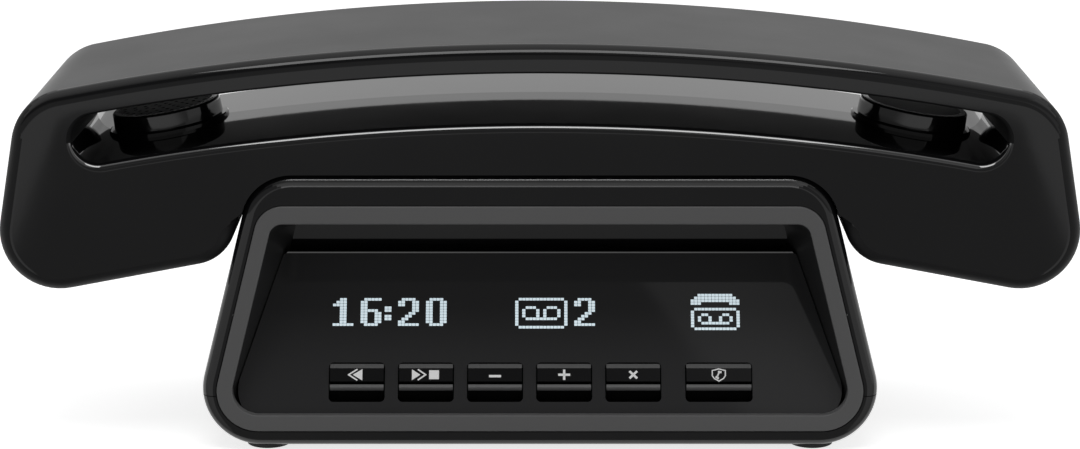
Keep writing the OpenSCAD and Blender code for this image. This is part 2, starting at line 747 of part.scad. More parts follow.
// The keypad plate with its openings, flush in the handset's underside
lens_x = -plate_l / 2 + ledge_w + 1.5 + lens_l / 2;
lens_t = 0.8;
function_x = lens_x + lens_l / 2 + function_step;
number_x0 = function_x + row_pitch + 1;
number_keys = ["key_1", "key_2", "key_3", "key_4", "key_5", "key_6", "key_7", "key_8", "key_9",
    "key_star", "key_0", "key_hash"];
number_places = [for (i = [0:11]) [number_x0 + floor(i / 3) * row_pitch, (1 - i % 3) * column_pitch]];
function_places = [[function_x, column_pitch], [function_x, -column_pitch], [function_x, 0]];

module keypad_plate() {
    color("#141416") difference() {
        block([-plate_l / 2, -plate_w / 2, under_z], [plate_l / 2, plate_w / 2, plate_top]);
        for (p = concat(number_places, function_places)) translate([p[0], p[1], under_z - past])
            translate([-number_l / 2, -number_w / 2, 0]) cube([number_l, number_w, plate_t + 2 * past]);
        block([lens_x - lens_l / 2 - fit, -lens_w / 2 - fit, under_z - past],
            [lens_x + lens_l / 2 + fit, lens_w / 2 + fit, under_z + lens_t]);
        block([lens_x - lens_l / 2 + 1, -lens_w / 2 + 1, under_z],
            [lens_x + lens_l / 2 - 1, lens_w / 2 - 1, plate_top + past]);
        pair() translate([pin_x, pin_y, under_z - past]) cylinder(d = pad_d + 2 * fit, h = pad_t + past);
    }
}

module keypad_mat() {
    color("#55565a") block([function_x - number_l / 2 - 1.5, -plate_w / 2 + ledge_w + 1, mat_z],
        [plate_l / 2 - ledge_w - 1, plate_w / 2 - ledge_w - 1, mat_z + mat_t]);
}

module handset_board() {
    color("#1f5a3a") block([-plate_l / 2 + ledge_w + fit, -plate_w / 2 + ledge_w + fit, pad_board_z],
        [plate_l / 2 - ledge_w - fit, plate_w / 2 - ledge_w - fit, pad_board_z + pad_board_t]);
}

module handset_display() {
    color("#7d8a86") block([lens_x - lens_l / 2 + 1.2, -lens_w / 2 + 1.2, under_z + lens_t],
        [lens_x + lens_l / 2 - 1.2, lens_w / 2 - 1.2, pad_board_z]);
}

module display_lens() {
    color("#30343a") block([lens_x - lens_l / 2, -lens_w / 2, under_z],
        [lens_x + lens_l / 2, lens_w / 2, under_z + lens_t]);
}

module charge_pads() {
    color("#d8b45a") pair() translate([pin_x, pin_y, under_z]) cylinder(d = pad_d, h = pad_t);
}

// A key of the handset: a cap a little proud of the plate, with a flange above it
pad_proud = 0.15;

module pad_key(place, tone) {
    color(tone) translate([place[0], place[1], 0]) union() {
        block([-number_l / 2 + key_gap, -number_w / 2 + key_gap, under_z - pad_proud],
            [number_l / 2 - key_gap, number_w / 2 - key_gap, pad_flange_z + pad_flange_t]);
        block([-number_l / 2 - 0.5, -number_w / 2 - 0.5, pad_flange_z],
            [number_l / 2 + 0.5, number_w / 2 + 0.5, pad_flange_z + pad_flange_t]);
    }
}

// The menu rocker tilts about its own middle, so its cap and flange stop short of the travel
module menu_key() {
    lift = number_l / 2 * sin(menu_tilt) + fit;
    color("#3a3c40") translate([function_places[2][0], function_places[2][1], 0]) union() {
        block([-number_l / 2 + key_gap + 0.1, -number_w / 2 + key_gap, under_z],
            [number_l / 2 - key_gap - 0.1, number_w / 2 - key_gap, plate_top + lift + pad_flange_t]);
        block([-number_l / 2 + key_gap + 0.1, -number_w / 2 - 0.5, plate_top + lift],
            [number_l / 2 - key_gap - 0.1, number_w / 2 + 0.5, plate_top + lift + pad_flange_t]);
    }
}

// A puck: conical side, flat top, and a spigot through the floor
module puck() {
    rotate_extrude() polygon([[0, 0.3 - floor_t], [spigot_d / 2, 0.3 - floor_t], [spigot_d / 2, fit],
        [puck_d / 2, fit], [puck_d / 2, 1], [puck_top_d / 2, puck_h], [0, puck_h]]);
}

module speaker_cap() {
    pitch = puck_top_d / 2 / (sound_rings + 1);
    wall = 1.2;
    color("#1a1a1c") on_floor(-1) difference() {
        puck();
        translate([0, 0, -floor_t - past]) cylinder(d = spigot_d - 2 * wall, h = puck_h - wall + floor_t + past);
        for (r = [1:sound_rings]) for (i = [0:6 * r - 1]) rotate([0, 0, i * 60 / r])
            translate([r * pitch, 0, 0]) cylinder(d = sound_hole_d, h = puck_h + past);
        cylinder(d = sound_hole_d, h = puck_h + past);
    }
}

module plain_cap() {
    color("#1a1a1c") on_floor(1) puck();
}

module handsfree_speaker() {
    basket_h = 2;
    color("#4a4a4c") on_floor(-1) translate([0, 0, 0.3 - floor_t]) union() {
        translate([0, 0, -basket_h]) cylinder(d = spigot_d - fit, h = basket_h);
        translate([0, 0, -basket_h - 1.6]) cylinder(d = spigot_d - 7, h = 1.6);
    }
}

module leg_cover(side) {
    on_leg(side) difference() {
        block([-leg_cover_l / 2, -leg_cover_w / 2, 0], [leg_cover_l / 2, leg_cover_w / 2, leg_cover_t]);
        if (side < 0) for (r = [0:2]) for (i = [0:max(1, 6 * r) - 1]) rotate([0, 0, r == 0 ? 0 : i * 60 / r])
            translate([r * 3.4, 0, -past]) cylinder(d = 1.8, h = leg_cover_t + 2 * past);
    }
}

module earpiece_cover() {
    color("#161618") leg_cover(-1);
}

module battery_cover() {
    color("#161618") leg_cover(1);
}

earpiece_d = 20;
earpiece_h = 2.6;
earpiece_magnet_d = 12;
earpiece_magnet_h = 2.4;

module earpiece_speaker() {
    color("#4a4a4c") on_leg(-1) translate([0, 0, leg_cover_t]) union() {
        cylinder(d = earpiece_d, h = earpiece_h);
        translate([0, 0, earpiece_h]) cylinder(d = earpiece_magnet_d, h = earpiece_magnet_h);
    }
}

// Two cells across the right leg, with a contact at each end that a stand of the housing backs
cell_d = 10.5;
cell_l = 44.5;
cell_x = cell_d / 2 + fit / 2;
cell_z = shell_t + cell_d / 2 + 1;
contact_d = cell_d - 3;
contact_t = 1.6;

module battery_cells() {
    color("#8a8f96") on_leg(1) for (x = [-cell_x, cell_x]) translate([x, cell_l / 2, cell_z]) rotate([90, 0, 0])
        cylinder(d = cell_d, h = cell_l);
}

module cell_contacts() {
    color("#c9c9c4") on_leg(1) for (side = [-1, 1]) for (x = [-cell_x, cell_x])
        translate([x, side * (cell_l + contact_t + fit) / 2, cell_z]) rotate([90, 0, 0])
        cylinder(d = contact_d, h = contact_t, center = true);
}

// The microphone lies against the inside of the right end
mic_d = 6;
mic_h = 2.4;
mic_z = toe_c[1] + mic_d / 2 + 1.5;
mic_x = (end_line - shell_t - fit - sin(end_tilt) * mic_z) / cos(end_tilt);

module microphone() {
    color("#9a9c9e") translate([mic_x, 0, mic_z]) rotate([0, 90 - end_tilt, 0]) translate([0, 0, -mic_h])
        cylinder(d = mic_d, h = mic_h);
}

base_housing();
bottom_cover();
bezel_ring();
recess_liner();
display_panel();
display_module();
base_key(key_places[0]);  // rewind_key
base_key(key_places[1]);  // play_stop_key
base_key(key_places[2]);  // minus_key
base_key(key_places[3]);  // plus_key
base_key(key_places[4]);  // erase_key
base_key(key_places[5]);  // guard_key
key_board();
key_switches();
main_board();
base_speaker();
power_jack();
line_socket();
charge_block();
charge_pin(-1);  // charge_pin_left
charge_pin(1);  // charge_pin_right
rubber_feet();
base_screws();
handset_housing();
keypad_plate();
keypad_mat();
handset_board();
handset_display();
display_lens();
charge_pads();
for (i = [0:11]) pad_key(number_places[i], "#2a2b2e");
pad_key(function_places[0], "#3f7d4a");  // talk_key
pad_key(function_places[1], "#9a3a34");  // end_key
menu_key();
speaker_cap();
plain_cap();
handsfree_speaker();
earpiece_cover();
earpiece_speaker();
battery_cover();
battery_cells();
cell_contacts();
microphone();
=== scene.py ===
import json
import math

import bpy
import numpy as np
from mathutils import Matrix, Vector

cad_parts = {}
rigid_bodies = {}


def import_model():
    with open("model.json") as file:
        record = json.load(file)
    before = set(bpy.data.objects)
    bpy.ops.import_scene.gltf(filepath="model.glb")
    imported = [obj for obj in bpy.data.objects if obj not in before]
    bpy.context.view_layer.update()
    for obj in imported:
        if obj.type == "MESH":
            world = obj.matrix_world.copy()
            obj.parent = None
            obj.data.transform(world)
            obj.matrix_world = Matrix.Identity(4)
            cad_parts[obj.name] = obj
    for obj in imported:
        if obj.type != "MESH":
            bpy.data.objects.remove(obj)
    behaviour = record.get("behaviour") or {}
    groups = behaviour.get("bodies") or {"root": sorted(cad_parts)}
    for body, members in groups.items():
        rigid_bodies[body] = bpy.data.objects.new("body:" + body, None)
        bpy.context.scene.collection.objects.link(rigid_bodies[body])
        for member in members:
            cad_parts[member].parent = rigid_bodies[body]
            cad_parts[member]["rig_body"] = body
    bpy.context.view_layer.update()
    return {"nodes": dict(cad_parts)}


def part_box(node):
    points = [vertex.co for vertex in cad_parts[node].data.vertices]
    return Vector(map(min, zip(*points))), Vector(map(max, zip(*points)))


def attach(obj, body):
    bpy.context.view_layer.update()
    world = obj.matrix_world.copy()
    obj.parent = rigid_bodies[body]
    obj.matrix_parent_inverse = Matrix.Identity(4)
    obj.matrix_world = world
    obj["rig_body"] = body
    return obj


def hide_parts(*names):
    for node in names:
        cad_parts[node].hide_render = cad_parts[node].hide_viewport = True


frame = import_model()

# Bottom cover: the black moulded tray that closes the base from below the seam. Four screws in sunk
# holes hold it to the posts of the housing, and a fan of slots lets the speaker sound out. The
# sizes of the phone are in millimetres and degrees.
slope = 14.35
base_low, base_high = 1.0, 58.5
base_front, base_back = -29.0, 29.0
base_half, base_edge, base_wall = 69.5, 2.4, 2.2
foot_corner, shoulder_corner = 12.0, 10.5
seam, seam_gap, fit = 12.0, 0.15, 0.15
lean_cos, lean_sin = math.cos(math.radians(slope)), math.sin(math.radians(slope))
side_reach = lean_cos * (base_half - foot_corner) + lean_sin * (base_low + foot_corner) + foot_corner
edge_steps = 8
cover_top = seam - seam_gap
flat_x, flat_y = base_half - foot_corner, base_back - base_edge
screw_x, screw_ys, screw_hole, screw_sink = 47.5, (3.9, 14.35), 2.9, 2.4
screw_cell, screw_band = 3.0, 4.5
fan_x, fan_y, fan_r, fan_taper, fan_end = -31.7, 12.0, 10.0, 8.0, -20.0
slot_pitch, slot_side = 2.8, 0.7
socket_low, socket_tops = 6.25, (17.55, 18.15)
socket_sides = (13.55, 26.85, socket_tops[1]), (33.55, 42.85, socket_tops[0])
base_size = base_low, base_high, 0.0, foot_corner, shoulder_corner
ring_size = 4.4, 52.1, 3.1, 8.4, 6.0
pocket_floor = -28.0


def arc(centre, radius, start, end, n):
    """Points on a circle, at n angles evenly spaced from start to end."""
    a = np.radians(np.linspace(start, end, n))
    return np.stack([centre[0] + radius * np.cos(a), centre[1] + radius * np.sin(a)], axis=1)


def meet(a, p, b, q):
    """The point of two lines, each given by its normal's angle and its distance from the origin."""
    a, b = math.radians(a), math.radians(b)
    point = p * math.sin(b) - q * math.sin(a), q * math.cos(a) - p * math.cos(b)
    return np.array(point) / math.sin(b - a)


def mirrored(half):
    """The same outline on the other side of the middle, run backwards."""
    return half[::-1] * (-1, 1)


def let_out(size, d):
    """The size of an outline let out by d all round. A size is the lowest and the highest z, the inset of
    the leaning sides, and the radii of the foot's and the shoulder's corners."""
    return np.add(size, d * np.array([-1, 1, -1, 1, 1]))


def lower_half(size, z):
    """Right half of an outline below a height: the part of the foot's corner arc that lies under it."""
    low, _, inset, radius, _ = size
    centre = meet(slope, side_reach - inset - radius, 90, low + radius)
    return arc(centre, radius, -90, math.degrees(math.asin((z - centre[1]) / radius)), 16)


def under_base(half):
    """A whole lower outline, from the left seam under the base to the right seam."""
    return np.vstack([mirrored(half), half])


def round_edges(front, back, radius, steps=edge_steps):
    """Stations of depth and inset along a body whose front and back edges are quarter rounds."""
    a = np.radians(np.linspace(0, 90, steps + 1))
    depth, inset = radius * (1 - np.cos(a)), radius * (1 - np.sin(a))
    depths = np.hstack([front + depth, back - depth[::-1]])
    return list(zip(depths, np.hstack([inset, inset[::-1]])))


def at_depth(outline, y):
    """An outline of x and z, stood upright at a depth."""
    return np.stack([outline[:, 0], np.full(len(outline), y), outline[:, 1]], axis=1)


def all_but_flat(grid):
    """All cells of a shell but its one large flat cell, between the edge rounds, that is ruled apart."""
    keep = np.ones((grid.shape[0] - 1, grid.shape[1] - 1), bool)
    keep[edge_steps, grid.shape[1] // 2 - 1] = False
    return keep


def plane(origin, across, up):
    """A flat place: pairs (u, v) go to origin + u across + v up, raised along its normal."""
    axes = np.array([across, up], float)
    normal = np.cross(across, up)

    def place(uv, raised=0.0):
        return np.asarray(origin, float) + np.asarray(uv, float) @ axes + raised * normal
    return place


def ruled(place, us, vs, dropped=()):
    """A flat sheet cut by straight lines at us and vs, without the dropped cells."""
    keep = np.ones((len(us) - 1, len(vs) - 1), bool)
    for cell in dropped:
        keep[cell] = False
    return place(np.stack(np.meshgrid(us, vs, indexing="ij"), axis=-1)), keep


def hole_outline(centre, half, radius, n=9):
    """A closed rounded rectangle about a centre: a quarter arc of n points at each corner. It is a circle
    where its half sizes equal the radius."""
    inset = np.asarray(half, float) - radius
    corners = [((1, -1), -90), ((1, 1), 0), ((-1, 1), 90), ((-1, -1), 180)]
    ring = [arc(np.asarray(centre) + np.array(s) * inset, radius, a, a + 90, n) for s, a in corners]
    return np.vstack([*ring, ring[0][:1]])


def hole_wall(place, outline, depth):
    """The wall of a hole: its outline from a depth below the sheet up to the sheet."""
    return np.stack([place(outline, -depth), place(outline)])


def opening(place, centre, half, radius, margin, depth, n=9):
    """A rounded hole in a flat sheet: the rim that joins it to its cell, a margin wider all round, and its
    wall. In the rim, each corner arc's middle goes to the cell's corner and its other points go square
    across to the cell's sides."""
    inner = hole_outline(centre, half, radius, n)
    outer = inner.copy()
    (u0, v0), (u1, v1) = (np.asarray(centre) + s * (np.asarray(half) + margin) * np.ones(2) for s in (-1, 1))
    middle = n // 2
    sides = [(1, v0, 0, u1), (0, u1, 1, v1), (1, v1, 0, u0), (0, u0, 1, v0)]
    for k, (enter, enter_at, leave, leave_at) in enumerate(sides):
        outer[k * n:k * n + middle + 1, enter] = enter_at
        outer[k * n + middle:(k + 1) * n, leave] = leave_at
    outer[-1] = outer[0]
    return [np.stack([place(inner), place(outer)]), hole_wall(place, inner, depth)]


def square_walls(place, low, high, depth):
    """The four flat walls of a square opening between two corners (u, v)."""
    (u0, v0), (u1, v1) = low, high
    rim = np.array([[u0, v0], [u1, v0], [u1, v1], [u0, v1], [u0, v0]])
    return [hole_wall(place, rim[i:i + 2], depth) for i in range(4)]


def both_corners(half, hub, y):
    """The corners of an upright wall, right and left: an outline's half drawn flat to its hub."""
    pairs = (half, hub), (mirrored(half), mirrored(hub))
    return [np.stack([at_depth(a, y), at_depth(b, y)]) for a, b in pairs]


def seam_faces(grid, wall):
    """The flat faces along a shell's two open edges, one wall wide, drawn towards the middle."""
    first, last = grid[:, 0], grid[:, -1]
    inward = np.array([math.copysign(wall, last[0, 0] - first[0, 0]), 0, 0])
    return [np.stack([first, first + inward]), np.stack([last - inward, last])]


def slope_along(grid, axis):
    """Tangents along one direction of a grid: differences of neighbours, across the seam where the row
    closes on itself, and three-point ones at open ends."""
    g = np.moveaxis(grid, axis, 0)
    t = np.empty_like(g)
    t[1:-1] = g[2:] - g[:-2]
    if np.allclose(g[0], g[-1], atol=1e-6):
        t[0] = t[-1] = g[1] - g[-2]
    elif len(g) > 2:
        t[0], t[-1] = 4 * g[1] - 3 * g[0] - g[2], 3 * g[-1] - 4 * g[-2] + g[-3]
    else:
        t[0] = t[-1] = g[1] - g[0]
    return np.moveaxis(t, 0, axis)


def grid_normals(grid):
    """Unit normals at a grid's points: tangents crossed, or the mean where those vanish or all but agree."""
    normal = np.cross(slope_along(grid, 0), slope_along(grid, 1))
    length = np.linalg.norm(normal, axis=-1, keepdims=True)
    mean = normal.sum(axis=(0, 1))
    mean = mean / max(np.linalg.norm(mean), 1e-12)
    normal = np.where(length > 1e-9, normal / np.maximum(length, 1e-9), mean)
    flat = np.all(np.abs(normal @ mean) > 0.9999)
    return np.broadcast_to(mean, normal.shape) if flat else normal


def skin(name, *layers):
    """One mesh, in metres, from layers (finish, grids). A grid is an array of points, or a pair of points
    and kept cells. Equal points are one vertex, a cell with a doubled corner is a triangle, and corners
    take the normals of their own grid, so that rounds are smooth and edges between grids stay sharp."""
    points, normals, cells, numbers, count = [], [], [], [], 0
    for number, (_, grids) in enumerate(layers):
        for entry in grids:
            grid, keep = entry if isinstance(entry, tuple) else (entry, ...)
            at = count + np.arange(grid.shape[0] * grid.shape[1]).reshape(grid.shape[:2])
            cell = np.stack([at[:-1, :-1], at[1:, :-1], at[1:, 1:], at[:-1, 1:]], axis=-1)
            cell = cell[keep].reshape(-1, 4)
            points.append(grid.reshape(-1, 3))
            normals.append(grid_normals(grid).reshape(-1, 3))
            cells.append(cell)
            numbers.append(np.full(len(cell), number))
            count += at.size
    points, normals, cells, numbers = (np.concatenate(a) for a in (points, normals, cells, numbers))
    _, first, vertex = np.unique(np.round(points, 4), axis=0, return_index=True, return_inverse=True)
    corner = vertex.reshape(-1)[cells]
    used = corner != np.roll(corner, -1, axis=1)
    used &= ~((corner[:, :1] == corner[:, 2:3]) & (corner[:, 1:2] == corner[:, 3:4]))
    solid = used.sum(axis=1) > 2
    used, corner, cells, numbers = used[solid], corner[solid], cells[solid], numbers[solid]
    sizes = used.sum(axis=1)
    starts = np.cumsum(sizes) - sizes
    mesh = bpy.data.meshes.new(name)
    mesh.vertices.add(len(first))
    mesh.vertices.foreach_set("co", (points[first] * 0.001).ravel())
    mesh.loops.add(int(sizes.sum()))
    mesh.loops.foreach_set("vertex_index", corner[used].astype(np.int32))
    mesh.polygons.add(len(sizes))
    mesh.polygons.foreach_set("loop_start", starts.astype(np.int32))
    mesh.polygons.foreach_set("material_index", numbers.astype(np.int32))
    mesh.polygons.foreach_set("use_smooth", np.ones(len(sizes), bool))
    mesh.update(calc_edges=True)
    for made, _ in layers:
        mesh.materials.append(made)
    mesh.normals_split_custom_set(normals[cells[used]].tolist())
    return mesh


def put(name, data):
    """A new object in the scene."""
    made = bpy.data.objects.new(name, data)
    bpy.context.scene.collection.objects.link(made)
    return made


def piece(mesh, body, slot, *nodes):
    """A finished piece: its mesh in the scene, on a body, in place of CAD nodes. Its slot is not used."""
    made = put(mesh.name, mesh)
    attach(made, body)
    if nodes:
        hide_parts(*nodes)


def fill(tree, made, inputs):
    """Links a shader node's inputs, given by name or number, to sockets, or sets them to values."""
    for label, value in inputs.items():
        if isinstance(value, bpy.types.NodeSocket):
            tree.links.new(value, made.inputs[label])
        else:
            made.inputs[label].default_value = value


def node(tree, kind, inputs, **settings):
    """The outputs of a new shader node with its settings made and its inputs filled."""
    made = tree.nodes.new("ShaderNode" + kind)
    for setting, value in settings.items():
        setattr(made, setting, value)
    fill(tree, made, inputs)
    return made.outputs


# The skin that all finishes share: colour and roughness drift between two values, and specks give a height.
moulded_skin = bpy.data.node_groups.new("moulded_skin", "ShaderNodeTree")
for way, kind, labels in (("INPUT", "Color", ["Dark", "Light"]),
                          ("INPUT", "Float", ["Smooth", "Rough", "Cloud scale", "Grain scale"]),
                          ("OUTPUT", "Color", ["Colour"]), ("OUTPUT", "Float", ["Roughness", "Height"])):
    for label in labels:
        moulded_skin.interface.new_socket(name=label, in_out=way, socket_type="NodeSocket" + kind)
skin_in = moulded_skin.nodes.new("NodeGroupInput").outputs
skin_place = node(moulded_skin, "TexCoord", {})["Object"]
skin_drift = node(moulded_skin, "TexNoise", {"Vector": skin_place, "Scale": skin_in["Cloud scale"],
                                             "Detail": 4})["Fac"]
skin_specks = node(moulded_skin, "TexNoise", {"Vector": skin_place, "Scale": skin_in["Grain scale"]})["Fac"]
skin_tone = node(moulded_skin, "Mix", {0: skin_drift, 6: skin_in["Dark"], 7: skin_in["Light"]},
                 data_type="RGBA")[2]
skin_dull = node(moulded_skin, "MapRange", {"Value": skin_drift, "From Min": 0.3, "From Max": 0.7,
                                            "To Min": skin_in["Smooth"], "To Max": skin_in["Rough"]})
fill(moulded_skin, moulded_skin.nodes.new("NodeGroupOutput"),
     {"Colour": skin_tone, "Roughness": skin_dull["Result"], "Height": skin_specks})


def finish(name, dark, light, smooth, rough, cloud=40.0, grain=1500.0, bump=0.05, glow=None, **shader):
    """A material under the shared skin, whose specks become a fine bump. A colour is (red, green, blue), or
    (grey, blue) where red and green are alike. The values left over go to the shader."""
    made = bpy.data.materials.new(name)
    made.use_nodes = True
    tree = made.node_tree
    dark, light = ((tone[0], *tone[-2:], 1) for tone in (dark, light))
    cover = node(tree, "Group", {"Dark": dark, "Light": light, "Smooth": smooth, "Rough": rough,
                                 "Cloud scale": cloud, "Grain scale": grain}, node_tree=moulded_skin)
    dimple = node(tree, "Bump", {"Height": cover["Height"], "Strength": bump, "Distance": 2e-5})["Normal"]
    look = {"Base Color": cover["Colour"], "Roughness": cover["Roughness"], "Normal": dimple, **shader}
    if glow:
        look.update({"Emission Color": cover["Colour"], "Emission Strength": glow})
    fill(tree, tree.nodes["Principled BSDF"], look)
    return made


soft_black = (0.006, 0.0064), (0.009, 0.0095)
cover_finish = finish("cover_moulding", *soft_black, 0.08, 0.12, bump=0.03, IOR=1.47)
tray = np.stack([at_depth(under_base(lower_half(let_out(base_size, -d), cover_top)), y)
                 for y, d in round_edges(base_front, base_back, base_edge)])
below = plane((0, 0, base_low), (0, 1, 0), (1, 0, 0))
cover = [(tray, all_but_flat(tray)), ruled(below, [-flat_y, flat_y], [fan_end, screw_x - screw_band])]
screw_lines = [-flat_y, *(y + s * screw_cell for y in screw_ys for s in (-1, 1)), flat_y]
for s in (-1, 1):
    columns = sorted([s * flat_x, *(s * (screw_x + e) for e in (screw_cell, -screw_cell, -screw_band))])
    cover.append(ruled(below, screw_lines, columns, [(1, 1), (3, 1)]))
    for y in screw_ys:
        cover += opening(below, (y, s * screw_x), screw_hole, screw_hole, screw_cell - screw_hole,
                         screw_sink)
fan_steps = np.arange(-3, 4)
slot_xs = fan_x + slot_pitch * fan_steps
for x, reach in zip(slot_xs, np.sqrt(fan_r ** 2 - fan_taper * fan_steps ** 2)):
    y0, y1, x0, x1 = fan_y - reach, fan_y + reach, x - slot_side, x + slot_side
    cover.append(ruled(below, [-flat_y, y0, y1, flat_y], [x0, x1], [(1, 0)]))
    cover += square_walls(below, (y0, x0), (y1, x1), base_wall)
for x0, x1 in zip([screw_band - screw_x, *(slot_xs + slot_side)], [*(slot_xs - slot_side), fan_end]):
    cover.append(ruled(below, [-flat_y, flat_y], [x0, x1]))
behind = plane((0, base_back, 0), (0, 0, 1), (1, 0, 0))
socket_xs = [x for left, right, _ in socket_sides for x in (left, right)]
cover.append(ruled(behind, [base_low + base_edge, socket_low, cover_top],
                   [-flat_x, *socket_xs, flat_x], [(1, 1), (1, 3)]))
cover_back = lower_half(let_out(base_size, -base_edge), cover_top)
cover += both_corners(cover_back, np.broadcast_to([flat_x, cover_top], cover_back.shape), base_back)
pocket_foot = lower_half(let_out(ring_size, fit), cover_top)
cover.append(np.stack([at_depth(under_base(half), base_front) for half in (pocket_foot, cover_back)]))
cover.append(np.stack([at_depth(under_base(pocket_foot), y) for y in (pocket_floor, base_front)]))
cover += seam_faces(tray, base_wall)
piece(skin("bottom_cover_moulding", (cover_finish, cover)), "base", "cover_moulding", "bottom_cover")

# Feet and screws: four soft rubber discs pressed into pockets of the cover, and four zinc-plated
# pan-head screws that hold the cover.
def dress(made, *names):
    """Gives CAD nodes that stay in view a finish."""
    for name in names:
        mesh = frame["nodes"][name].data
        mesh.materials.clear()
        mesh.materials.append(made)


dress(finish("foot_rubber", (0.012, 0.012), (0.02, 0.02), 0.6, 0.8, grain=3000, bump=0.2), "rubber_feet")
dress(finish("screw_steel", (0.35, 0.36), (0.5, 0.5), 0.25, 0.4, grain=2500, bump=0.1, Metallic=1.0),
      "base_screws")

# Inside the base: green circuit boards with tinned switches, a speaker with a pressed steel basket,
# and two black sockets that look out of the back wall. The handset's board and speakers are alike.
dress(finish("circuit_board", (0.006, 0.05, 0.022), (0.012, 0.08, 0.04), 0.3, 0.45, cloud=300, grain=4000),
      "key_board", "main_board", "handset_board")
dress(finish("switch_metal", (0.5, 0.48), (0.66, 0.65, 0.62), 0.25, 0.35, grain=3000, Metallic=1.0),
      "key_switches")
dress(finish("speaker_metal", (0.03, 0.032), (0.06, 0.062), 0.3, 0.45, grain=2500, bump=0.2, Metallic=0.7),
      "base_speaker", "handsfree_speaker", "earpiece_speaker")
dress(finish("socket_plastic", (0.008, 0.008), (0.014, 0.014), 0.4, 0.5, grain=2500, bump=0.15),
      "power_jack", "line_socket", "charge_block")

# Base housing: the glossy black shell over the cover, a rounded wedge with leaning sides. Its front has
# a shallow pocket that the ring is pressed into, and the sockets show through its back wall. Its top
# edges are a little duller than the rest, and fade into the gloss at the shoulders.
pin_x, pin_y, pin_hole, pin_cell = 40.0, 18.6, 1.6, 3.0
dull_from, dull_taper = 18, 1.4


def upper_half(size, z, n=6):
    """Right half of an outline above a height: the rest of the foot's corner arc, then the shoulder's."""
    z0, z1, inset, r0, r1 = size
    foot = meet(slope, side_reach - inset - r0, 90, z0 + r0)
    shoulder = meet(slope, side_reach - inset - r1, 90, z1 - r1)
    start = math.degrees(math.asin(max((z - foot[1]) / r0, -1.0)))
    return np.vstack([arc(foot, r0, start, slope, n), arc(shoulder, r1, slope, 90, 16)])


def over_base(half):
    """A whole upper outline, from the right seam over the top to the left seam."""
    return np.vstack([half, mirrored(half)])


def from_ends(n):
    """For each of n cells in a row, how many cells lie between it and the nearer end."""
    return np.minimum(np.arange(n), np.arange(n)[::-1])


deep_black = (0.0055, 0.006), (0.0075, 0.008)
shell_gloss = finish("gloss_shell", *deep_black, 0.035, 0.06, bump=0.015, IOR=1.48)
edge_satin = finish("shell_edge", *deep_black, 0.17, 0.2, bump=0.015, IOR=2.2)
shell = np.stack([at_depth(over_base(upper_half(let_out(base_size, -d), seam)), y)
                  for y, d in round_edges(base_front, base_back, base_edge)])
shell_keep = all_but_flat(shell)
from_face, from_seam = (from_ends(n) for n in shell_keep.shape)
dull_start = dull_from - dull_taper * from_face[:, None]
edge_keep = (from_face[:, None] < edge_steps) & (from_seam >= dull_start)
shoulder_x = meet(slope, side_reach - shoulder_corner, 90, base_high - shoulder_corner)[0]
above = plane((0, 0, base_high), (1, 0, 0), (0, 1, 0))
top_xs = [-shoulder_x, *(x + s * pin_cell for x in (-pin_x, pin_x) for s in (-1, 1)), shoulder_x]
top_ys = [-flat_y, pin_y - pin_cell, pin_y + pin_cell, flat_y]
housing = [(shell, shell_keep & ~edge_keep), ruled(above, top_xs, top_ys, [(1, 1), (3, 1)])]
for x in (-pin_x, pin_x):
    housing += opening(above, (x, pin_y), pin_hole, pin_hole, pin_cell - pin_hole, base_wall)
back_top = base_high - base_edge
housing.append(ruled(behind, [seam, *socket_tops, back_top], [-shoulder_x, *socket_xs, shoulder_x],
                     [(0, 1), (0, 3), (1, 1)]))
shell_back = upper_half(let_out(base_size, -base_edge), seam)
shell_hub = np.stack([np.full(len(shell_back), shoulder_x), shell_back[:, 1]], axis=1)
housing += both_corners(shell_back, shell_hub, base_back)
for left, right, top in socket_sides:
    housing += square_walls(behind, (socket_low, left), (top, right), base_wall)
pocket_top = upper_half(let_out(ring_size, fit), seam)
housing.append(np.stack([at_depth(over_base(half), base_front) for half in (pocket_top, shell_back)]))
housing.append(np.stack([at_depth(over_base(pocket_top), y) for y in (pocket_floor, base_front)]))
housing += seam_faces(shell, base_wall)
piece(skin("base_housing_shell", (shell_gloss, housing), (edge_satin, [(shell, edge_keep)])),
      "base", "gloss_shell", "base_housing")

# Charging pins and contacts: turned brass, gold plated. The pins are sprung in the block under the top
# of the base, and the pads and the cells' contacts sit in the handset.
dress(finish("contact_gold", (0.78, 0.52, 0.2), (0.85, 0.6, 0.27), 0.15, 0.25, grain=2500, Metallic=1.0),
      "charge_pin_left", "charge_pin_right", "charge_pads", "cell_contacts")

# Bezel ring: a satin grey painted moulding pressed into the front pocket, a little proud of the front,
# with softly broken edges.
window_size = 7.9, 48.3, 6.3, 5.2, 2.8
ring_edge, ring_face, ring_root = 0.35, base_front - 0.2, -27.6
ring_paint = finish("satin_ring", (0.114, 0.115), (0.120, 0.121), 0.4, 0.48, grain=2500, bump=0.06)


def framed(size):
    """A closed outline of the base's kind: foot and shoulder corner arcs joined by leaning sides."""
    outline = over_base(upper_half(size, size[0], 16))
    return np.vstack([outline, outline[:1]])


ring_turn = np.radians(np.linspace(0, 90, 5))
ring_steps = list(zip(ring_edge * (1 - np.cos(ring_turn)), ring_face + ring_edge * (1 - np.sin(ring_turn))))
ring_rows = [(window_size, 0.0, ring_root), *((window_size, d, y) for d, y in ring_steps),
             *((ring_size, -d, y) for d, y in ring_steps[::-1]), (ring_size, 0.0, pocket_floor)]
ring_grid = np.stack([at_depth(framed(let_out(size, d)), y) for size, d, y in ring_rows])
piece(skin("bezel_ring_moulding", (ring_paint, [ring_grid])), "base", "satin_ring", "bezel_ring")
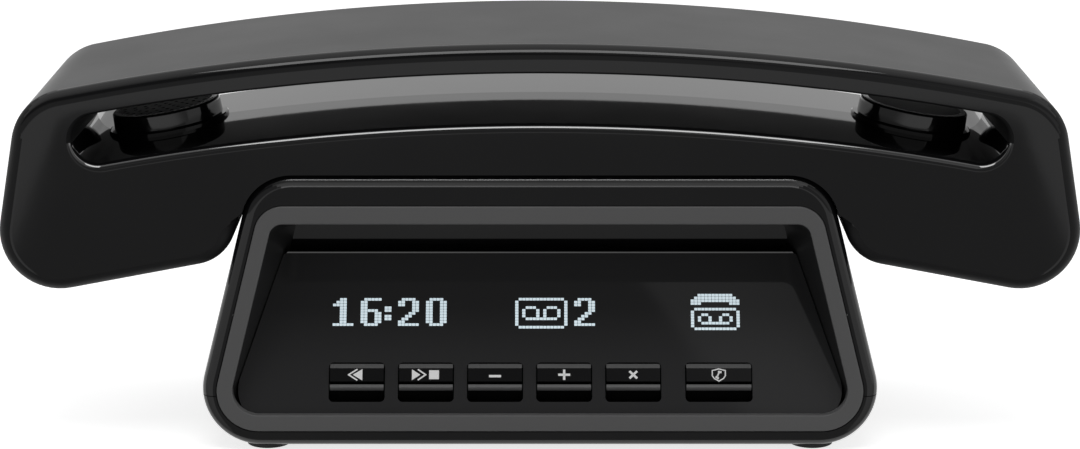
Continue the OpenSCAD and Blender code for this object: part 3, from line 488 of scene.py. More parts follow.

# Recess liner: a black moulded cup behind the ring that narrows to its back wall; the panel leans in it.
# Its back wall is polished, and its sides are satin and painted a little lighter: painted light where the
# recess lies in shade.
recess_low, recess_depth, recess_taper = 6.0, 24.0, math.tan(math.radians(10))
_, window_high, window_inset, window_foot_r, window_shoulder_r = window_size
back_polish = finish("recess_liner", (0.008, 0.0085), (0.010, 0.0105), 0.05, 0.08, grain=2500,
                     bump=0.01, IOR=1.65)
# Lighter than the back wall: painted light on the side walls, which lie in the recess's shade.
wall_satin_painted_light = finish("recess_walls", (0.014, 0.0145), (0.017, 0.0175), 0.36, 0.4, grain=2500,
                    bump=0.01, IOR=1.65)


def recess(depth):
    """The recess's outline at a depth behind the ring: each side drawn in by the taper."""
    t = depth * recess_taper
    return framed((recess_low + t, window_high - t, window_inset + t, window_foot_r, window_shoulder_r))


liner_back = at_depth(recess(recess_depth), pocket_floor + recess_depth)
right, left = np.split(liner_back[:-1], 2)
liner_walls = np.stack([liner_back, at_depth(recess(0.0), pocket_floor)])
back_wall = np.stack([right, left[::-1]], axis=1)
piece(skin("recess_liner_cup", (back_polish, [back_wall]), (wall_satin_painted_light, [liner_walls])),
      "base", "recess_liner", "recess_liner")

# Display panel: a glossy black moulding that leans back in the recess, with six rounded openings for
# the keys. Its lower corners are rounded, its top edge is bevelled, and the display shines through it.
# The bevel is painted pale and glows a little: a painted highlight along the top edge.
panel_tilt, panel_l, panel_t = math.radians(30.6), 35.1, 2.0
panel_y, panel_z = pocket_floor + fit, 7.648
panel_bevel, brow_cut, panel_core = 0.4, 0.6, 46.0
corner_levels = [3.2, 4.5, 6.0, 7.5]
key_low, key_high, key_margin, key_corner = 2.7, 11.1, 0.6, 1.0
key_first, key_pitch, last_pitch = -37.9, 14.3, 17.7
key_halves = [5.8] * 5 + [6.95]
panel_gloss = finish("panel_gloss", (0.033, 0.034), (0.036, 0.037), 0.03, 0.05, bump=0.01, IOR=1.48)
# Pale grey with a small glow: the painted highlight on the bevel of the panel's top edge.
brow_painted_highlight = finish("brow_painted_highlight", (0.20, 0.20), (0.24, 0.24), 0.2, 0.3, bump=0.01, glow=0.25, IOR=1.48)


def panel_half(s):
    """Half width of the panel, s up its slope: the recess's foot corner arc or leaning side at the panel's
    back, less a clearance."""
    drawn = (fit + s * math.sin(panel_tilt) + panel_t * math.cos(panel_tilt)) * recess_taper
    z = panel_z + s * math.cos(panel_tilt) - panel_t * math.sin(panel_tilt)
    corner = meet(slope, side_reach - window_inset - drawn - window_foot_r,
                  90, recess_low + drawn + window_foot_r)
    rise = z - corner[1]
    if rise < window_foot_r * lean_sin:
        return corner[0] + math.sqrt(window_foot_r ** 2 - rise ** 2) - fit
    return (side_reach - window_inset - drawn - lean_sin * z) / lean_cos - fit


on_panel = plane((0, panel_y, panel_z), (1, 0, 0), (0, math.sin(panel_tilt), math.cos(panel_tilt)))
key_centres = [key_first + key_pitch * i for i in range(5)]
key_centres.append(key_centres[-1] + last_pitch)
key_lines = [c + s * (h + key_margin) for c, h in zip(key_centres, key_halves) for s in (-1, 1)]
panel_levels = [0, key_low - key_margin, key_high + key_margin, panel_l - panel_bevel]
panel = [ruled(on_panel, [-panel_core, *key_lines, panel_core], panel_levels,
               [(2 * i + 1, 1) for i in range(len(key_centres))])]
side_levels = np.array([*np.linspace(0, key_low - key_margin, 6), *corner_levels, key_high + key_margin,
                        panel_l - brow_cut, panel_l - panel_bevel])
side_halves = [panel_half(s) for s in side_levels[:-1]] + [panel_half(panel_l) - panel_bevel]
side = np.stack([side_halves, side_levels], axis=1)
core = np.stack([np.full(len(side), panel_core), side_levels], axis=1)
other_side, both_sides = (-1, 1), np.array([[1, 1], [-1, 1]])
panel += [np.stack([on_panel(core), on_panel(side)]),
          np.stack([on_panel(side * other_side), on_panel(core * other_side)])]
brow = np.array([panel_half(panel_l) - brow_cut, panel_l]) * both_sides
for line, drop in ((brow, panel_bevel), (side, 0.0), (side[::-1] * other_side, 0.0)):
    panel.append(np.stack([on_panel(line, -drop), on_panel(line, -panel_t)]))
for c, h in zip(key_centres, key_halves):
    centre, half = (c, (key_low + key_high) / 2), (h, (key_high - key_low) / 2)
    panel += opening(on_panel, centre, half, key_corner, key_margin, panel_t)
brow_bevel = np.stack([on_panel(side[-1] * both_sides), on_panel(brow, -panel_bevel)])
piece(skin("display_panel_moulding", (panel_gloss, panel), (brow_painted_highlight, [brow_bevel])),
      "base", "panel_gloss", "display_panel")
dress(finish("display_module", (0.004, 0.005, 0.006), (0.006, 0.007, 0.008), 0.2, 0.3, grain=3000),
      "display_module")

# Lit dots of the display: the module's pixels seen through the panel, in a pale blue white. They show
# the time, a tape and a count of messages, and a handset over a tape.
dot_w, dot_h, dot_fill, print_raise = 0.73, 0.604, 0.9, 0.012
most_rows, most_columns = 13, 15
display_light = finish("display_light", (0.50, 0.60, 0.65), (0.56, 0.65, 0.70), 0.3, 0.4, cloud=150, bump=0.0,
                       glow=0.9)


def lit(strokes):
    """The lit dots of a figure: every dot of a field that lies in one of its strokes (c0, r0, c1, r1)."""
    field = np.zeros((most_rows, most_columns), bool)
    for c0, r0, c1, r1 in strokes:
        field[r0:r1, c0:c1] = True
    return np.argwhere(field)[:, ::-1]


def tiles(name, corners, made):
    """A mesh, in metres, of separate four-sided tiles from their corners."""
    corners = corners.reshape(-1, 3) * 0.001
    mesh = bpy.data.meshes.new(name)
    mesh.from_pydata(corners.tolist(), [], np.arange(len(corners)).reshape(-1, 4).tolist())
    mesh.materials.append(made)
    mesh.update()
    return mesh


two = [(1, 0, 5, 1), (0, 1, 2, 3), (4, 1, 6, 5), (3, 5, 5, 6), (2, 6, 4, 7), (1, 7, 3, 8), (0, 8, 2, 9),
       (0, 9, 6, 10)]
figures = {
    "one": ([(2, 0, 4, 10), (1, 1, 2, 2), (0, 2, 2, 3), (0, 9, 6, 10)], -43.2, 24.94),
    "six": ([(1, 0, 6, 1), (0, 1, 2, 9), (2, 4, 5, 5), (4, 5, 6, 9), (1, 9, 5, 10)], -37.4, 24.94),
    "colon": ([(0, 3, 2, 5), (0, 6, 2, 8)], -32.4, 24.94),
    "two": (two, -29.6, 24.94),
    "zero": ([(1, 0, 5, 1), (0, 1, 2, 9), (4, 1, 6, 9), (1, 9, 5, 10)], -23.8, 24.94),
    "tape": ([(1, 0, 14, 1), (1, 10, 14, 11), (0, 1, 1, 10), (14, 1, 15, 10), (3, 3, 6, 4), (2, 4, 3, 7),
              (6, 4, 7, 7), (9, 3, 12, 4), (8, 4, 9, 7), (12, 4, 13, 7), (3, 7, 12, 8)], -5.2, 24.98),
    "count": (two, 7.1, 24.94),
    "call": ([(2, 0, 12, 1), (1, 1, 13, 2), (0, 2, 14, 3), (0, 3, 3, 4), (11, 3, 14, 4), (1, 5, 13, 6),
              (1, 12, 13, 13), (0, 6, 1, 12), (13, 6, 14, 12), (3, 7, 5, 8), (2, 8, 3, 10), (5, 8, 6, 10),
              (9, 7, 11, 8), (8, 8, 9, 10), (11, 8, 12, 10), (3, 10, 11, 11)], 31.4, 25.85),
}
near, far = 0.5 - dot_fill / 2, 0.5 + dot_fill / 2
dot_corners = np.array([[far, far], [far, near], [near, near], [near, far]])
dots = [(lit(strokes)[:, None] + dot_corners) * (dot_w, -dot_h) + (x, top)
        for strokes, x, top in figures.values()]
piece(tiles("display_dots", on_panel(np.vstack(dots), print_raise), display_light),
      "base", "display_module")

# Base keys: six black moulded keys in the panel. Each has a bevelled icon strip over a lower lip, with a
# groove between them, and its icon is printed in white with a small painted glow. The strip is glossy. The
# bevel and the lip are painted pale as painted highlights, and the groove and the drop below the lip are
# painted near black as painted shade.
key_gap, key_root, key_face, icon_lift = 0.25, -2.15, 0.5, 0.05
key_gloss = finish("base_key", (0.006, 0.0065), (0.009, 0.0095), 0.10, 0.14, grain=2500, bump=0.02, IOR=1.5)
# Pale grey: a painted highlight on the icon strip's bevel and on the lip's top face.
key_bevel_painted_highlight = finish("base_key_edge", (0.16, 0.161), (0.18, 0.181), 0.25, 0.3, grain=2500, bump=0.02, IOR=1.5)
# Mid grey: a painted highlight on the lip's rounded front.
key_lip_painted_highlight = finish("base_key_lip", (0.06, 0.061), (0.07, 0.071), 0.2, 0.25, grain=2500, bump=0.02, IOR=1.5)
# Near black and rough: painted shade in the groove and on the drop below the lip.
key_shade = finish("base_key_shade", (0.0012, 0.0013), (0.0016, 0.0017), 0.8, 0.9, grain=2500, bump=0.02,
                   IOR=1.1)
# White print that also glows a little: the white is the print's own colour, and the glow is painted light.
icon_print_painted_glow = finish("key_print_painted_glow", (0.82, 0.82), (0.88, 0.88), 0.4, 0.5, cloud=200, bump=0.0, glow=0.15)


def stroked(path, width):
    """A printed line: one tile for each straight piece of a path, half a width longer at each end."""
    path = np.asarray(path, float)
    a, b = path[:-1], path[1:]
    d = (b - a) / np.linalg.norm(b - a, axis=1, keepdims=True) * width / 2
    n = d[:, ::-1] * (-1, 1)
    return np.stack([a - d - n, b + d - n, b + d + n, a - d + n], axis=1)


def filled(path):
    """A printed area of three or four corners, as one tile."""
    return np.array([path if len(path) == 4 else [*path, path[-1]]], float)


def key_line(profile, x):
    """A key's profile, pairs of height up the slope and rise above the panel, stood at x across it."""
    profile = np.asarray(profile, float)
    return on_panel(np.stack([np.full(len(profile), x), profile[:, 0]], axis=1), profile[:, 1:])


receiver = [stroked([[-0.22, -0.62], [-0.3, -0.35], [-0.05, 0.25], [0.2, 0.55]], 0.3),
            stroked([[0.05, 0.62], [0.36, 0.55]], 0.42), stroked([[-0.5, -0.52], [-0.22, -0.72]], 0.42)]
icons = {
    "rewind_key": [filled([[1.15, -1.2], [1.15, 1.2], [-0.85, 0]]),
                   stroked([[0.0, 1.1], [-1.7, 0], [0.0, -1.1]], 0.3)],
    "play_stop_key": [filled([[-2.9, 1.15], [-2.9, -1.15], [-1.15, 0]]),
                      stroked([[-1.55, 1.05], [-0.05, 0], [-1.55, -1.05]], 0.3),
                      filled([[0.65, -0.95], [2.7, -0.95], [2.7, 0.95], [0.65, 0.95]])],
    "minus_key": [stroked([[-1.0, -0.3], [1.0, -0.3]], 0.5)],
    "plus_key": [stroked([[-1.0, 0], [1.0, 0]], 0.5), stroked([[0, -0.85], [0, 0.85]], 0.5)],
    "erase_key": [stroked([[-0.62, -0.6], [0.62, 0.6]], 0.48), stroked([[-0.62, 0.6], [0.62, -0.6]], 0.48)],
    "guard_key": [stroked([[-1.35, 0.9], [-0.7, 1.05], [0, 1.25], [0.7, 1.05], [1.35, 0.9], [1.35, -0.2],
                           [0.95, -0.8], [0, -1.35], [-0.95, -0.8], [-1.35, -0.2], [-1.35, 0.9]], 0.24),
                  *receiver],
}
key_z0, key_z1 = key_low + key_gap, key_high - key_gap
lip_z, step_z, face_z, bevel_z = key_z0 + 2.2, key_z0 + 3.4, key_z0 + 3.9, key_z1 - 1.1
# The pale runs carry painted highlights, and the near-black runs carry painted shade.
key_runs = [(key_shade, [(key_z0, key_root), (key_z0, -1.8)]), (key_shade, [(key_z0, -1.8), (lip_z, -0.2)]),
            (key_lip_painted_highlight, [(lip_z, -0.2), (lip_z + 0.2, 0.05), (lip_z + 0.5, 0.17), (lip_z + 0.62, 0.2)]),
            (key_bevel_painted_highlight, [(lip_z + 0.62, 0.2), (step_z, 0.2)]), (key_shade, [(step_z, 0.2), (step_z, -0.5)]),
            (key_shade, [(step_z, -0.5), (face_z, -0.5)]),
            (key_shade, [(face_z, -0.5), (face_z, 0.42), (face_z + 0.08, key_face)]),
            (key_gloss, [(face_z + 0.08, key_face), (bevel_z, key_face)]),
            (key_bevel_painted_highlight, [(bevel_z, key_face), (key_z1, -0.3)]),
            (key_gloss, [(key_z1, -0.3), (key_z1, key_root)])]
key_front = np.vstack([run for _, run in key_runs])
key_back = key_front * (1, 0) + (0, key_root)
for (name, marks), centre, half in zip(icons.items(), key_centres, key_halves):
    x0, x1 = centre - half + key_gap, centre + half - key_gap
    layers = {made: [] for made in (key_gloss, key_bevel_painted_highlight, key_lip_painted_highlight, key_shade)}
    for made, run in key_runs:
        layers[made].append(np.stack([key_line(run, x0), key_line(run, x1)]))
    layers[key_gloss] += [np.stack([key_line(key_back, x0), key_line(key_front, x0)]),
                          np.stack([key_line(key_front, x1), key_line(key_back, x1)])]
    body = frame["nodes"][name]["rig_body"]
    piece(skin(name + "_cap", *layers.items()), body, "base_key", name)
    printed = np.vstack(marks) + (centre, (face_z + bevel_z) / 2 + icon_lift)
    piece(tiles(name + "_icon", on_panel(printed, key_face + print_raise), icon_print_painted_glow), body, "base_key")

# Handset housing: one long arched black moulding, hollow, with a slot through it that makes the handle.
# The slot's walls draft both ways from a parting line in the middle, and its mouth is rounded. The faces
# are glossy, the crown and the rounded rims satin, and the underside and the slot's roof matt.
arch_o, arch_r = np.array([0.0, -415.0]), 500.0
handset_front, handset_back, handset_edge, handset_half_l = -29.0, 29.0, 3.0, 110.0
under_z, leg_drop, leg_angle, end_tilt = 59.1, 24.9, 259.2, 10.0
leg_gap, under_share = 0.7, -0.19
notch_r, heel_r, toe_r, brow_r = shoulder_corner + leg_gap, 9.5, 12.0, 12.0
slot_floor, slot_h, slot_draft, slot_half_l, slot_edge, roof_share = 484.0, 10.2, 1.8, 94.2, 1.7, 0.35
plate_half_l, plate_half_w, door_half_w, sole_margin, pocket_depth = 53.15, 21.15, 24.65, 0.35, 1.6
under_n, notch_n, heel_n, toe_n, brow_n, crown_n = 12, 14, 12, 18, 16, 40
rim_steps, mouth_steps, flat_tolerance = 10, 8, 0.15


def toward(angle):
    """Unit vector at an angle."""
    return np.array([math.cos(math.radians(angle)), math.sin(math.radians(angle))])


leg_side = side_reach + leg_gap
toe_c = np.array([handset_half_l - toe_r, under_z - leg_drop + toe_r])
heel_c = meet(leg_angle, toward(leg_angle) @ toe_c + toe_r - heel_r, slope, leg_side + heel_r)
notch_c = meet(slope, leg_side - notch_r, 90, under_z - notch_r)
sole = np.stack([heel_c + heel_r * toward(leg_angle), toe_c + toe_r * toward(leg_angle)])
sole_flat = np.linalg.norm(sole[1] - sole[0])
brow_foot = toward(end_tilt) * (toward(end_tilt) @ toe_c + toe_r - brow_r) - arch_o
brow_lift = toward(end_tilt + 90) @ brow_foot
brow_c = arch_o + brow_foot + toward(end_tilt + 90) * (
    math.sqrt(brow_lift ** 2 - brow_foot @ brow_foot + (arch_r - brow_r) ** 2) - brow_lift)
brow_end = math.degrees(math.atan2(brow_c[1] - arch_o[1], brow_c[0]))


def handset_half(d):
    """Right half of the handset's outline drawn in by d, but let out by a share of d at its underside: from
    the middle of the underside, down the inner side of the leg, round its foot, up the end and along the
    crown to the middle."""
    xs = np.linspace(0, notch_c[0], under_n, endpoint=False)
    under = np.stack([xs, np.full(under_n, under_z + under_share * d)], axis=1)
    notch = arc(notch_c, notch_r + under_share * d, 90, slope, notch_n)
    heel = arc(heel_c, heel_r - d, 180 + slope, leg_angle, heel_n)
    toe = arc(toe_c, toe_r - d, leg_angle, 360 + end_tilt, toe_n)
    flat = heel[-1] + np.array([[sole_margin], [sole_flat - sole_margin]]) / sole_flat * (toe[0] - heel[-1])
    brow_arc = arc(brow_c, brow_r - d, end_tilt, brow_end, brow_n)
    crown = arc(arch_o, arch_r - d, brow_end, 90, crown_n)[1:]
    return np.vstack([under, notch, heel, flat, toe, brow_arc, crown])


def whole(half):
    """A closed outline from its right half, which starts and ends on the middle."""
    return np.vstack([half, mirrored(half)[1:]])


sole_cell = under_n + notch_n + heel_n
run_under, run_end = sole_cell + 2, toe_n + brow_n
slot_mid = slot_floor + slot_h / 2
slot_turn = math.degrees(math.asin((slot_half_l - slot_h / 2) / slot_mid))
draft_in = math.tan(math.radians(slot_draft)) * handset_back
share_under = np.interp(np.arange(run_under), [0, under_n, under_n + notch_n - 1, sole_cell - 1, run_under],
                        [0, 0.6, 0.77, 0.86, 1])
crown_xs = handset_half(handset_edge)[run_under + run_end - 1:, 0]
share_crown = crown_xs[1:] / crown_xs[0]


def slot_half(d):
    """Right half of the slot's outline let out by d, less at the roof: floor arc, round end and roof arc,
    with a point for each point of the handset's outline."""
    floor_reach, roof_reach = slot_h / 2 + d, slot_h / 2 + (roof_share * d if d > 0 else d)
    end_turn = np.linspace(-90, 90, run_end) - slot_turn
    turns = 90 - slot_turn * share_under, end_turn, 90 - slot_turn * share_crown
    floor_ray, end_ray, roof_ray = (np.stack([np.cos(a), np.sin(a)], axis=1) for a in map(np.radians, turns))
    end_reach = np.linspace(floor_reach, roof_reach, run_end)[:, None]
    return np.vstack([arch_o + (slot_mid - floor_reach) * floor_ray,
                           arch_o + slot_mid * toward(90 - slot_turn) + end_reach * end_ray,
                           arch_o + (slot_mid + roof_reach) * roof_ray])


handset_gloss = finish("handset_gloss", *deep_black, 0.03, 0.05, bump=0.012, IOR=1.48)
crown_satin = finish("handset_crown", *deep_black, 0.33, 0.37, bump=0.012, IOR=1.48)
roof_matt = finish("slot_roof", (0.004, 0.0044), (0.006, 0.0064), 0.64, 0.7, bump=0.02, IOR=1.27)
lip_polish = finish("slot_lip", *deep_black, 0.05, 0.08, bump=0.01, IOR=2.3)
rim_satin = finish("handset_rim", (0.0065, 0.007), (0.0085, 0.009), 0.5, 0.56, bump=0.012, IOR=1.33)
stations = round_edges(handset_front, handset_back, handset_edge, rim_steps)
pocket_ys = (-door_half_w, -plate_half_w, plate_half_w, door_half_w)
stations[rim_steps + 1:rim_steps + 1] = [(y, 0.0) for y in pocket_ys]
band = np.stack([at_depth(whole(handset_half(d)), y) for y, d in stations])
middle = (band[:-1, :-1] + band[1:, :-1] + band[1:, 1:] + band[:-1, 1:]) / 4
in_plate = ((np.abs(middle[..., 2] - under_z) < flat_tolerance) & (np.abs(middle[..., 0]) < plate_half_l)
            & (np.abs(middle[..., 1]) < plate_half_w))
from_face, from_middle = (from_ends(n) for n in in_plate.shape)
in_door = (from_middle == sole_cell) & (np.abs(middle[..., 1]) < door_half_w)
band_keep = ~(in_plate | in_door)
between_rims = from_face[:, None] >= rim_steps
rim_start = np.interp(from_middle, [run_under + toe_n, run_under + run_end], [1, rim_steps])
rim_keep = band_keep & (from_face[:, None] >= rim_start) & ~between_rims
under_keep = band_keep & (from_middle < sole_cell - 1) & between_rims
crown_keep = (from_middle >= run_under + toe_n) & between_rims
glossy = [(band, band_keep & ~(rim_keep | under_keep | crown_keep))]
for y, face in ((handset_front, 1), (handset_back, -1)):
    rows = [at_depth(whole(slot_half(slot_edge)), y), at_depth(whole(handset_half(handset_edge)), y)]
    glossy.append(np.stack(rows[::face]))
mouth = round_edges(handset_front, handset_back, slot_edge, mouth_steps)
slot_rows = [at_depth(whole(slot_half(d)), y) for y, d in mouth]
parting = at_depth(whole(slot_half(-draft_in)), 0.0)
front_run = np.stack([parting, *slot_rows[mouth_steps::-1]])
back_run = np.stack([*slot_rows[:mouth_steps:-1], parting])
floor_keep = np.tile(from_middle < run_under + run_end // 2, (mouth_steps + 1, 1))
lip_keep = floor_keep.copy()
lip_keep[[0, -2, -1]] = False
glossy += [(front_run, floor_keep & ~lip_keep), (back_run, floor_keep)]
roof_grids = [(band, under_keep), (front_run, ~floor_keep), (back_run, ~floor_keep)]
sole_c, sole_lean = sole.mean(axis=0), toward(leg_angle - 270)
pockets = [(plane((0, 0, under_z), (0, 1, 0), (1, 0, 0)), plate_half_w, plate_half_l)]
for s in (-1, 1):
    leg_place = plane((s * sole_c[0], 0, sole_c[1]), (0, 1, 0), (sole_lean[0], 0, s * sole_lean[1]))
    pockets.append((leg_place, door_half_w, sole_flat / 2 - sole_margin))
for place, half_w, half_l in pockets:
    glossy += square_walls(place, (-half_w, -half_l), (half_w, half_l), pocket_depth)
piece(skin("handset_housing_shell", (handset_gloss, glossy), (crown_satin, [(band, crown_keep)]),
           (roof_matt, roof_grids), (lip_polish, [(front_run, lip_keep)]), (rim_satin, [(band, rim_keep)])),
      "handset", "gloss_shell", "handset_housing")

# Pucks in the slot: two black moulded caps on the slot's floor, each with an upright glossy side above a
# low flange and a satin top. The left one has rings of small holes for the hands-free speaker under it,
# the right one is plain.
puck_x, puck_r, puck_h, puck_round, puck_draft = 78.0, 11.4, 4.4, 0.5, 2.0
flange = [(12.7, -0.4), (12.7, 0.75), (12.5, 1.0), (11.5, 1.1)]
sound_rings, sound_pitch, sound_hole, puck_wall = 4, 2.18, 0.45, 1.2
sound_r = (sound_rings + 0.5) * sound_pitch
puck_turn = math.asin(puck_x / slot_floor)
puck_gloss = finish("puck_gloss", *deep_black, 0.05, 0.08, bump=0.015, IOR=1.6)
puck_satin = finish("puck_top", *soft_black, 0.5, 0.58, bump=0.1, IOR=1.3)


def on_floor(grids, side):
    """Grids of a puck's own frame, z up its axis, carried to its seat on the slot's floor."""
    c, s = math.cos(puck_turn), side * math.sin(puck_turn)
    turn = np.array([[c, 0, -s], [0, 1, 0], [s, 0, c]])
    seat = np.array([0, 0, slot_floor + draft_in / 2])
    return [(grid + seat) @ turn + (0, 0, arch_o[1]) for grid in grids]


def turned(profile, n=97):
    """A profile of radius and height turned about the z axis."""
    a = np.linspace(0, 2 * math.pi, n)
    r, z = np.asarray(profile, float).T[..., None]
    return np.stack([r * np.cos(a), r * np.sin(a), z + 0 * a], axis=-1)


rounding = arc((puck_r - puck_round, puck_h - puck_round), puck_round, puck_draft, 90, 7)
puck_side = [turned(flange[i:i + 2]) for i in range(3)]
puck_side.append(turned([flange[-1], *rounding, (sound_r, puck_h)]))
puck_top = plane((0, 0, puck_h), (1, 0, 0), (0, 1, 0))
hub = hole_outline((0, 0), sound_hole, sound_hole, 7)
perforated = [np.stack([puck_top(hub), puck_top(hub * sound_pitch / 2 / sound_hole)])]
cell_margin = np.array([sound_pitch / 2, math.pi / 6 * sound_pitch]) - sound_hole
for ring in range(1, sound_rings + 1):
    ring_r = ring * sound_pitch
    for grid in opening(puck_top, (ring_r, 0), sound_hole, sound_hole, cell_margin, puck_wall, 5):
        for i in range(6 * ring):
            swing = grid[..., 1] / ring_r + math.radians(60 / ring * i)
            swung = grid[..., 0] * np.cos(swing), grid[..., 0] * np.sin(swing), grid[..., 2]
            perforated.append(np.stack(swung, axis=-1))
plain = [turned([(sound_r, puck_h), (0.0, puck_h)])]
for name, s, top in (("speaker_cap", -1, perforated), ("plain_cap", 1, plain)):
    piece(skin(name + "_puck", (puck_gloss, on_floor(puck_side, s)), (puck_satin, on_floor(top, s))),
          "handset", "puck_gloss", name)

# Inside the handset: the rubber key mat, the grey display and its smoked lens, the microphone, and two
# wrapped cells in the right leg. The keypad plate and the two leg covers are fine-grained black mouldings.
dress(finish("plate_plastic", (0.008, 0.0085), (0.012, 0.0125), 0.4, 0.5, grain=2200, bump=0.2),
      "keypad_plate", "earpiece_cover", "battery_cover")
dress(finish("mat_rubber", (0.08, 0.085), (0.11, 0.115), 0.6, 0.7, grain=2500, bump=0.15), "keypad_mat")
dress(finish("handset_display", (0.16, 0.20, 0.19), (0.2, 0.24, 0.22), 0.3, 0.4, grain=4000),
      "handset_display")
dress(finish("lens", (0.012, 0.014, 0.016), (0.018, 0.02, 0.022), 0.04, 0.07, bump=0.01, IOR=1.49),
      "display_lens")
dress(finish("microphone_can", (0.4, 0.4), (0.5, 0.5), 0.3, 0.4, grain=3000, Metallic=1.0), "microphone")
dress(finish("cell_wrap", (0.05, 0.16, 0.08), (0.07, 0.2, 0.1), 0.25, 0.35), "battery_cells")

# Keys of the handset: fifteen moulded caps through the plate, with white printed figures that carry a
# small painted glow. The talk key is green and the end key red, and the menu key rocks.
cap_u, cap_v, cap_corner, cap_round, rock_gap, digit_w = 4.55, 3.55, 0.9, 0.3, 0.1, 0.38
pad_pitch_x, pad_pitch_y, function_x = 11.0, 11.8, -12.0
number_plastic = finish("number_key", (0.022, 0.024), (0.03, 0.032), 0.3, 0.4, grain=2500, bump=0.12)
functions = {}
for name, row, dark, light, smooth in (("talk_key", 1, (0.02, 0.16, 0.045), (0.03, 0.2, 0.06), 0.3),
                                       ("end_key", -1, (0.25, 0.02, 0.018), (0.32, 0.03, 0.025), 0.3),
                                       ("menu_key", 0, (0.04, 0.042, 0.046), (0.055, 0.057, 0.06), 0.25)):
    functions[name] = row, finish(name, dark, light, smooth, smooth + 0.1, grain=2500, bump=0.12)
digits = {
    "key_1": [[[-0.6, 1.1], [0.1, 1.7], [0.1, -1.7]]],
    "key_2": [[[-1.1, 1.1], [-0.5, 1.7], [0.5, 1.7], [1.1, 1.1], [1.1, 0.5], [-1.1, -1.7], [1.1, -1.7]]],
    "key_3": [[[-1, 1.7], [1, 1.7], [0, 0.35], [0.7, 0.2], [1.1, -0.5], [0.9, -1.3], [0.2, -1.7],
               [-1, -1.5]]],
    "key_4": [[[0.6, -1.7], [0.6, 1.7], [-1.1, -0.6], [1.2, -0.6]]],
    "key_5": [[[1, 1.7], [-0.8, 1.7], [-1, 0.2], [0.3, 0.4], [1.1, -0.4], [0.9, -1.3], [0.1, -1.7],
               [-1, -1.5]]],
    "key_6": [[[0.7, 1.7], [-0.5, 0.8], [-1.1, -0.4], [-0.8, -1.4], [0.1, -1.7], [0.9, -1.3], [1, -0.4],
               [0.3, 0.2], [-0.9, -0.2]]],
    "key_7": [[[-1.1, 1.7], [1.1, 1.7], [-0.3, -1.7]]],
    "key_8": [arc((0, 0.9), 0.8, 0, 360, 13), arc((0, -0.8), 0.95, 0, 360, 13)],
    "key_9": [[[-0.7, -1.7], [0.5, -0.8], [1.1, 0.4], [0.8, 1.4], [-0.1, 1.7], [-0.9, 1.3], [-1, 0.4],
               [-0.3, -0.2], [0.9, 0.2]]],
    "key_star": [[[-0.9, 0.55], [0.9, -0.55]], [[-0.9, -0.55], [0.9, 0.55]], [[0, 1.05], [0, -1.05]]],
    "key_0": [arc((0, 0), 1, 90, 450, 17) * (1.15, 1.7)],
    "key_hash": [[[-0.5, 1.5], [-0.7, -1.5]], [[0.7, 1.5], [0.5, -1.5]], [[-1.2, 0.6], [1.2, 0.6]],
                 [[-1.2, -0.6], [1.2, -0.6]]],
    "talk_key": [[[-0.9, -1.2], [-1.1, -0.5], [-0.4, 0.6], [0.7, 1.3], [1.3, 1.1]]],
    "end_key": [[[-1.5, -0.5], [-0.9, 0.3], [0, 0.55], [0.9, 0.3], [1.5, -0.5]]],
    "menu_key": [[[-0.8, 1.1], [0, 2], [0.8, 1.1]], [[-0.8, -1.1], [0, -2], [0.8, -1.1]]],
}
for i, (name, paths) in enumerate(digits.items()):
    row, plastic = functions.get(name, (1 - i % 3, number_plastic))
    x, y = function_x if name in functions else pad_pitch_x * (i // 3), pad_pitch_y * row
    low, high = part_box(name)
    cap_place = plane((x, y, low.z * 1000), (0, -1, 0), (-1, 0, 0))
    half = np.array([cap_u, cap_v - (rock_gap if name == "menu_key" else 0)])
    cap_turn = np.radians(np.linspace(0, 90, 6))
    cap_steps = [*zip(cap_round * (1 - np.sin(cap_turn)), cap_round * (1 - np.cos(cap_turn))),
                 (0.0, (high.z - low.z) * 1000)]
    rows = [cap_place(hole_outline((0, 0), half - d, cap_corner - d), -h) for d, h in cap_steps]
    middle = np.broadcast_to(cap_place((0.0, 0.0)), rows[0].shape)
    body, slot = frame["nodes"][name]["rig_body"], name if name in functions else "number_key"
    piece(skin(name + "_cap", (plastic, [np.stack(rows), np.stack([middle, rows[0]])])), body, slot, name)
    marks = np.vstack([stroked(path, digit_w) for path in paths])
    piece(tiles(name + "_print", cap_place(marks, print_raise), icon_print_painted_glow), body, slot)

# Floor: a plain white sheet under the phone that runs back from just in front of it. It glows a little to
# the eye and in reflections, and takes the phone's shadow. From here on, sizes are in metres.
floor_mesh = bpy.data.meshes.new("floor")
floor_mesh.from_pydata([(-3, -0.03, 0), (3, -0.03, 0), (3, 4, 0), (-3, 4, 0)], [], [(0, 1, 2, 3)])
floor_paint = bpy.data.materials.new("floor_white")
floor_paint.use_nodes = True
floor_mesh.materials.append(floor_paint)
floor = put("floor", floor_mesh)


def reckon(tree, operation, a, b=0.0):
    """The result of a Math node of two sockets or numbers."""
    return node(tree, "Math", {0: a, 1: b}, operation=operation)[0]


floor_tree = floor_paint.node_tree
floor_ray = node(floor_tree, "LightPath", {})
floor_seen = reckon(floor_tree, "MAXIMUM", floor_ray["Is Camera Ray"], floor_ray["Is Glossy Ray"])
floor_seen = reckon(floor_tree, "MAXIMUM", floor_seen, floor_ray["Is Transmission Ray"])
fill(floor_tree, floor_tree.nodes["Principled BSDF"], {
    "Base Color": (0.85, 0.85, 0.85, 1), "Roughness": 0.8, "Emission Color": (1, 1, 1, 1),
    "Emission Strength": reckon(floor_tree, "MULTIPLY", floor_seen, 0.75)})

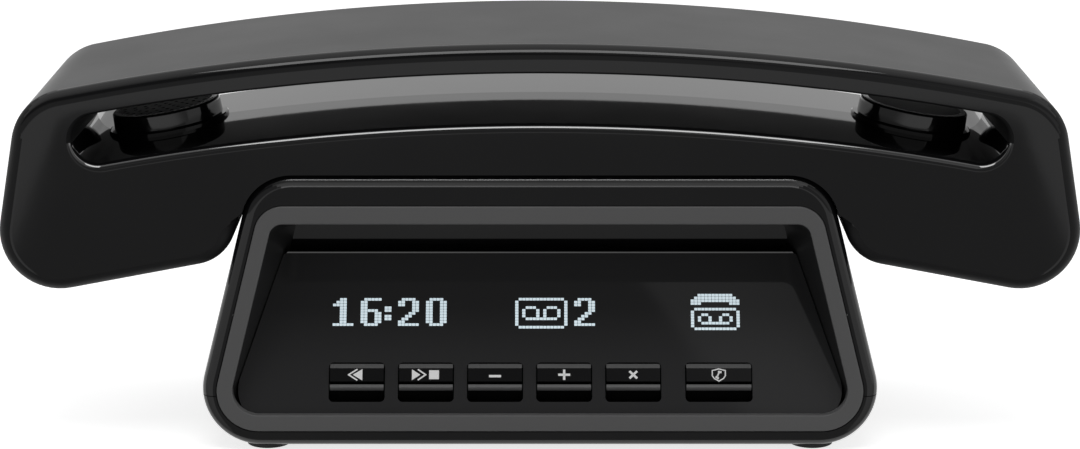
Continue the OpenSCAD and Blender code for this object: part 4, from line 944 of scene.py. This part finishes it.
# Studio: white to the eye. The gloss reflects a graded grey room, by the angle over the phone from the
# front horizon up and back, with a grey flag low in front and a pale card at the front right. One broad
# strip of light hangs above the front.
room_stops = [(-180, 0.75), (-90, 0.3), (-20, 0.7), (-3, 0.68), (0, 0.28), (30, 0.25), (38, 0.07), (58, 0.07),
              (64, 0.3), (80, 0.6), (110, 0.65), (122, 0.5), (158, 0.55), (166, 0.68), (170, 0.58),
              (180, 0.6)]
flag_lean, flag_half, flag_top, flag_level = 0.4545, 0.0697, -0.203, 0.25
card_lean, card_edge, card_top, card_level = 1.027, 0.776, 0.8, 0.2
world = bpy.data.worlds.new("studio")
bpy.context.scene.world = world
world.use_nodes = True
sky = world.node_tree
sky.nodes.clear()
way = node(sky, "SeparateXYZ", {0: node(sky, "TexCoord", {})["Generated"]})
east, north, height = way["X"], way["Y"], way["Z"]
turn = reckon(sky, "ARCTAN2", height, reckon(sky, "MULTIPLY", north, -1.0))
share = node(sky, "MapRange", {"Value": turn, "From Min": -math.pi, "From Max": math.pi})["Result"]
room = sky.nodes.new("ShaderNodeValToRGB")
fill(sky, room, {"Fac": share})
while len(room.color_ramp.elements) < len(room_stops):
    room.color_ramp.elements.new(0.5)
for stop, (angle, level) in zip(room.color_ramp.elements, room_stops):
    stop.position = (angle + 180) / 360
    stop.color = (level, level, level, 1)
ahead = reckon(sky, "LESS_THAN", north, 0.0)
flag_side = reckon(sky, "ADD", reckon(sky, "ABSOLUTE", east), reckon(sky, "MULTIPLY", height, flag_lean))
flag = reckon(sky, "MULTIPLY", reckon(sky, "LESS_THAN", flag_side, flag_half), ahead)
flag = reckon(sky, "MULTIPLY", flag, reckon(sky, "LESS_THAN", height, flag_top))
card_side = reckon(sky, "ADD", east, reckon(sky, "MULTIPLY", height, card_lean))
card = reckon(sky, "MULTIPLY", reckon(sky, "GREATER_THAN", card_side, card_edge), ahead)
card = reckon(sky, "MULTIPLY", card, reckon(sky, "LESS_THAN", height, card_top))
level = reckon(sky, "MULTIPLY", room.outputs["Color"], reckon(sky, "SUBTRACT", 1.0, flag))
for form, form_level in ((flag, flag_level), (card, card_level)):
    level = reckon(sky, "ADD", level, reckon(sky, "MULTIPLY", form, form_level))
ray = node(sky, "LightPath", {})
seen = reckon(sky, "MAXIMUM", ray["Is Camera Ray"], ray["Is Transmission Ray"])
tone = node(sky, "Mix", {0: seen, 6: level, 7: (1, 1, 1, 1)}, data_type="RGBA")[2]
node(sky, "OutputWorld", {"Surface": node(sky, "Background", {"Color": tone})[0]})
strip = bpy.data.lights.new("strip", "AREA")
strip.shape = "RECTANGLE"
strip.size, strip.size_y, strip.energy = 0.46, 0.375, 1.8
strip_lamp = put("strip", strip)
strip_lamp.location = (0, -0.315, 0.706)
strip_lamp.rotation_euler = (math.radians(-26.5), 0, 0)

# Camera: in front of the middle, a little above, looking down at the front of the base. Its long lens
# keeps the phone's sides nearly even.
camera = bpy.data.cameras.new("camera")
camera.lens, camera.sensor_width = 96.67, 36.0
camera.clip_start = 0.01
eye = put("camera", camera)
eye.location = (0, -0.599, 0.1894)
eye.rotation_euler = (math.radians(76.1), 0, 0)
bpy.context.scene.camera = eye
bpy.context.scene.view_settings.view_transform = "Standard"
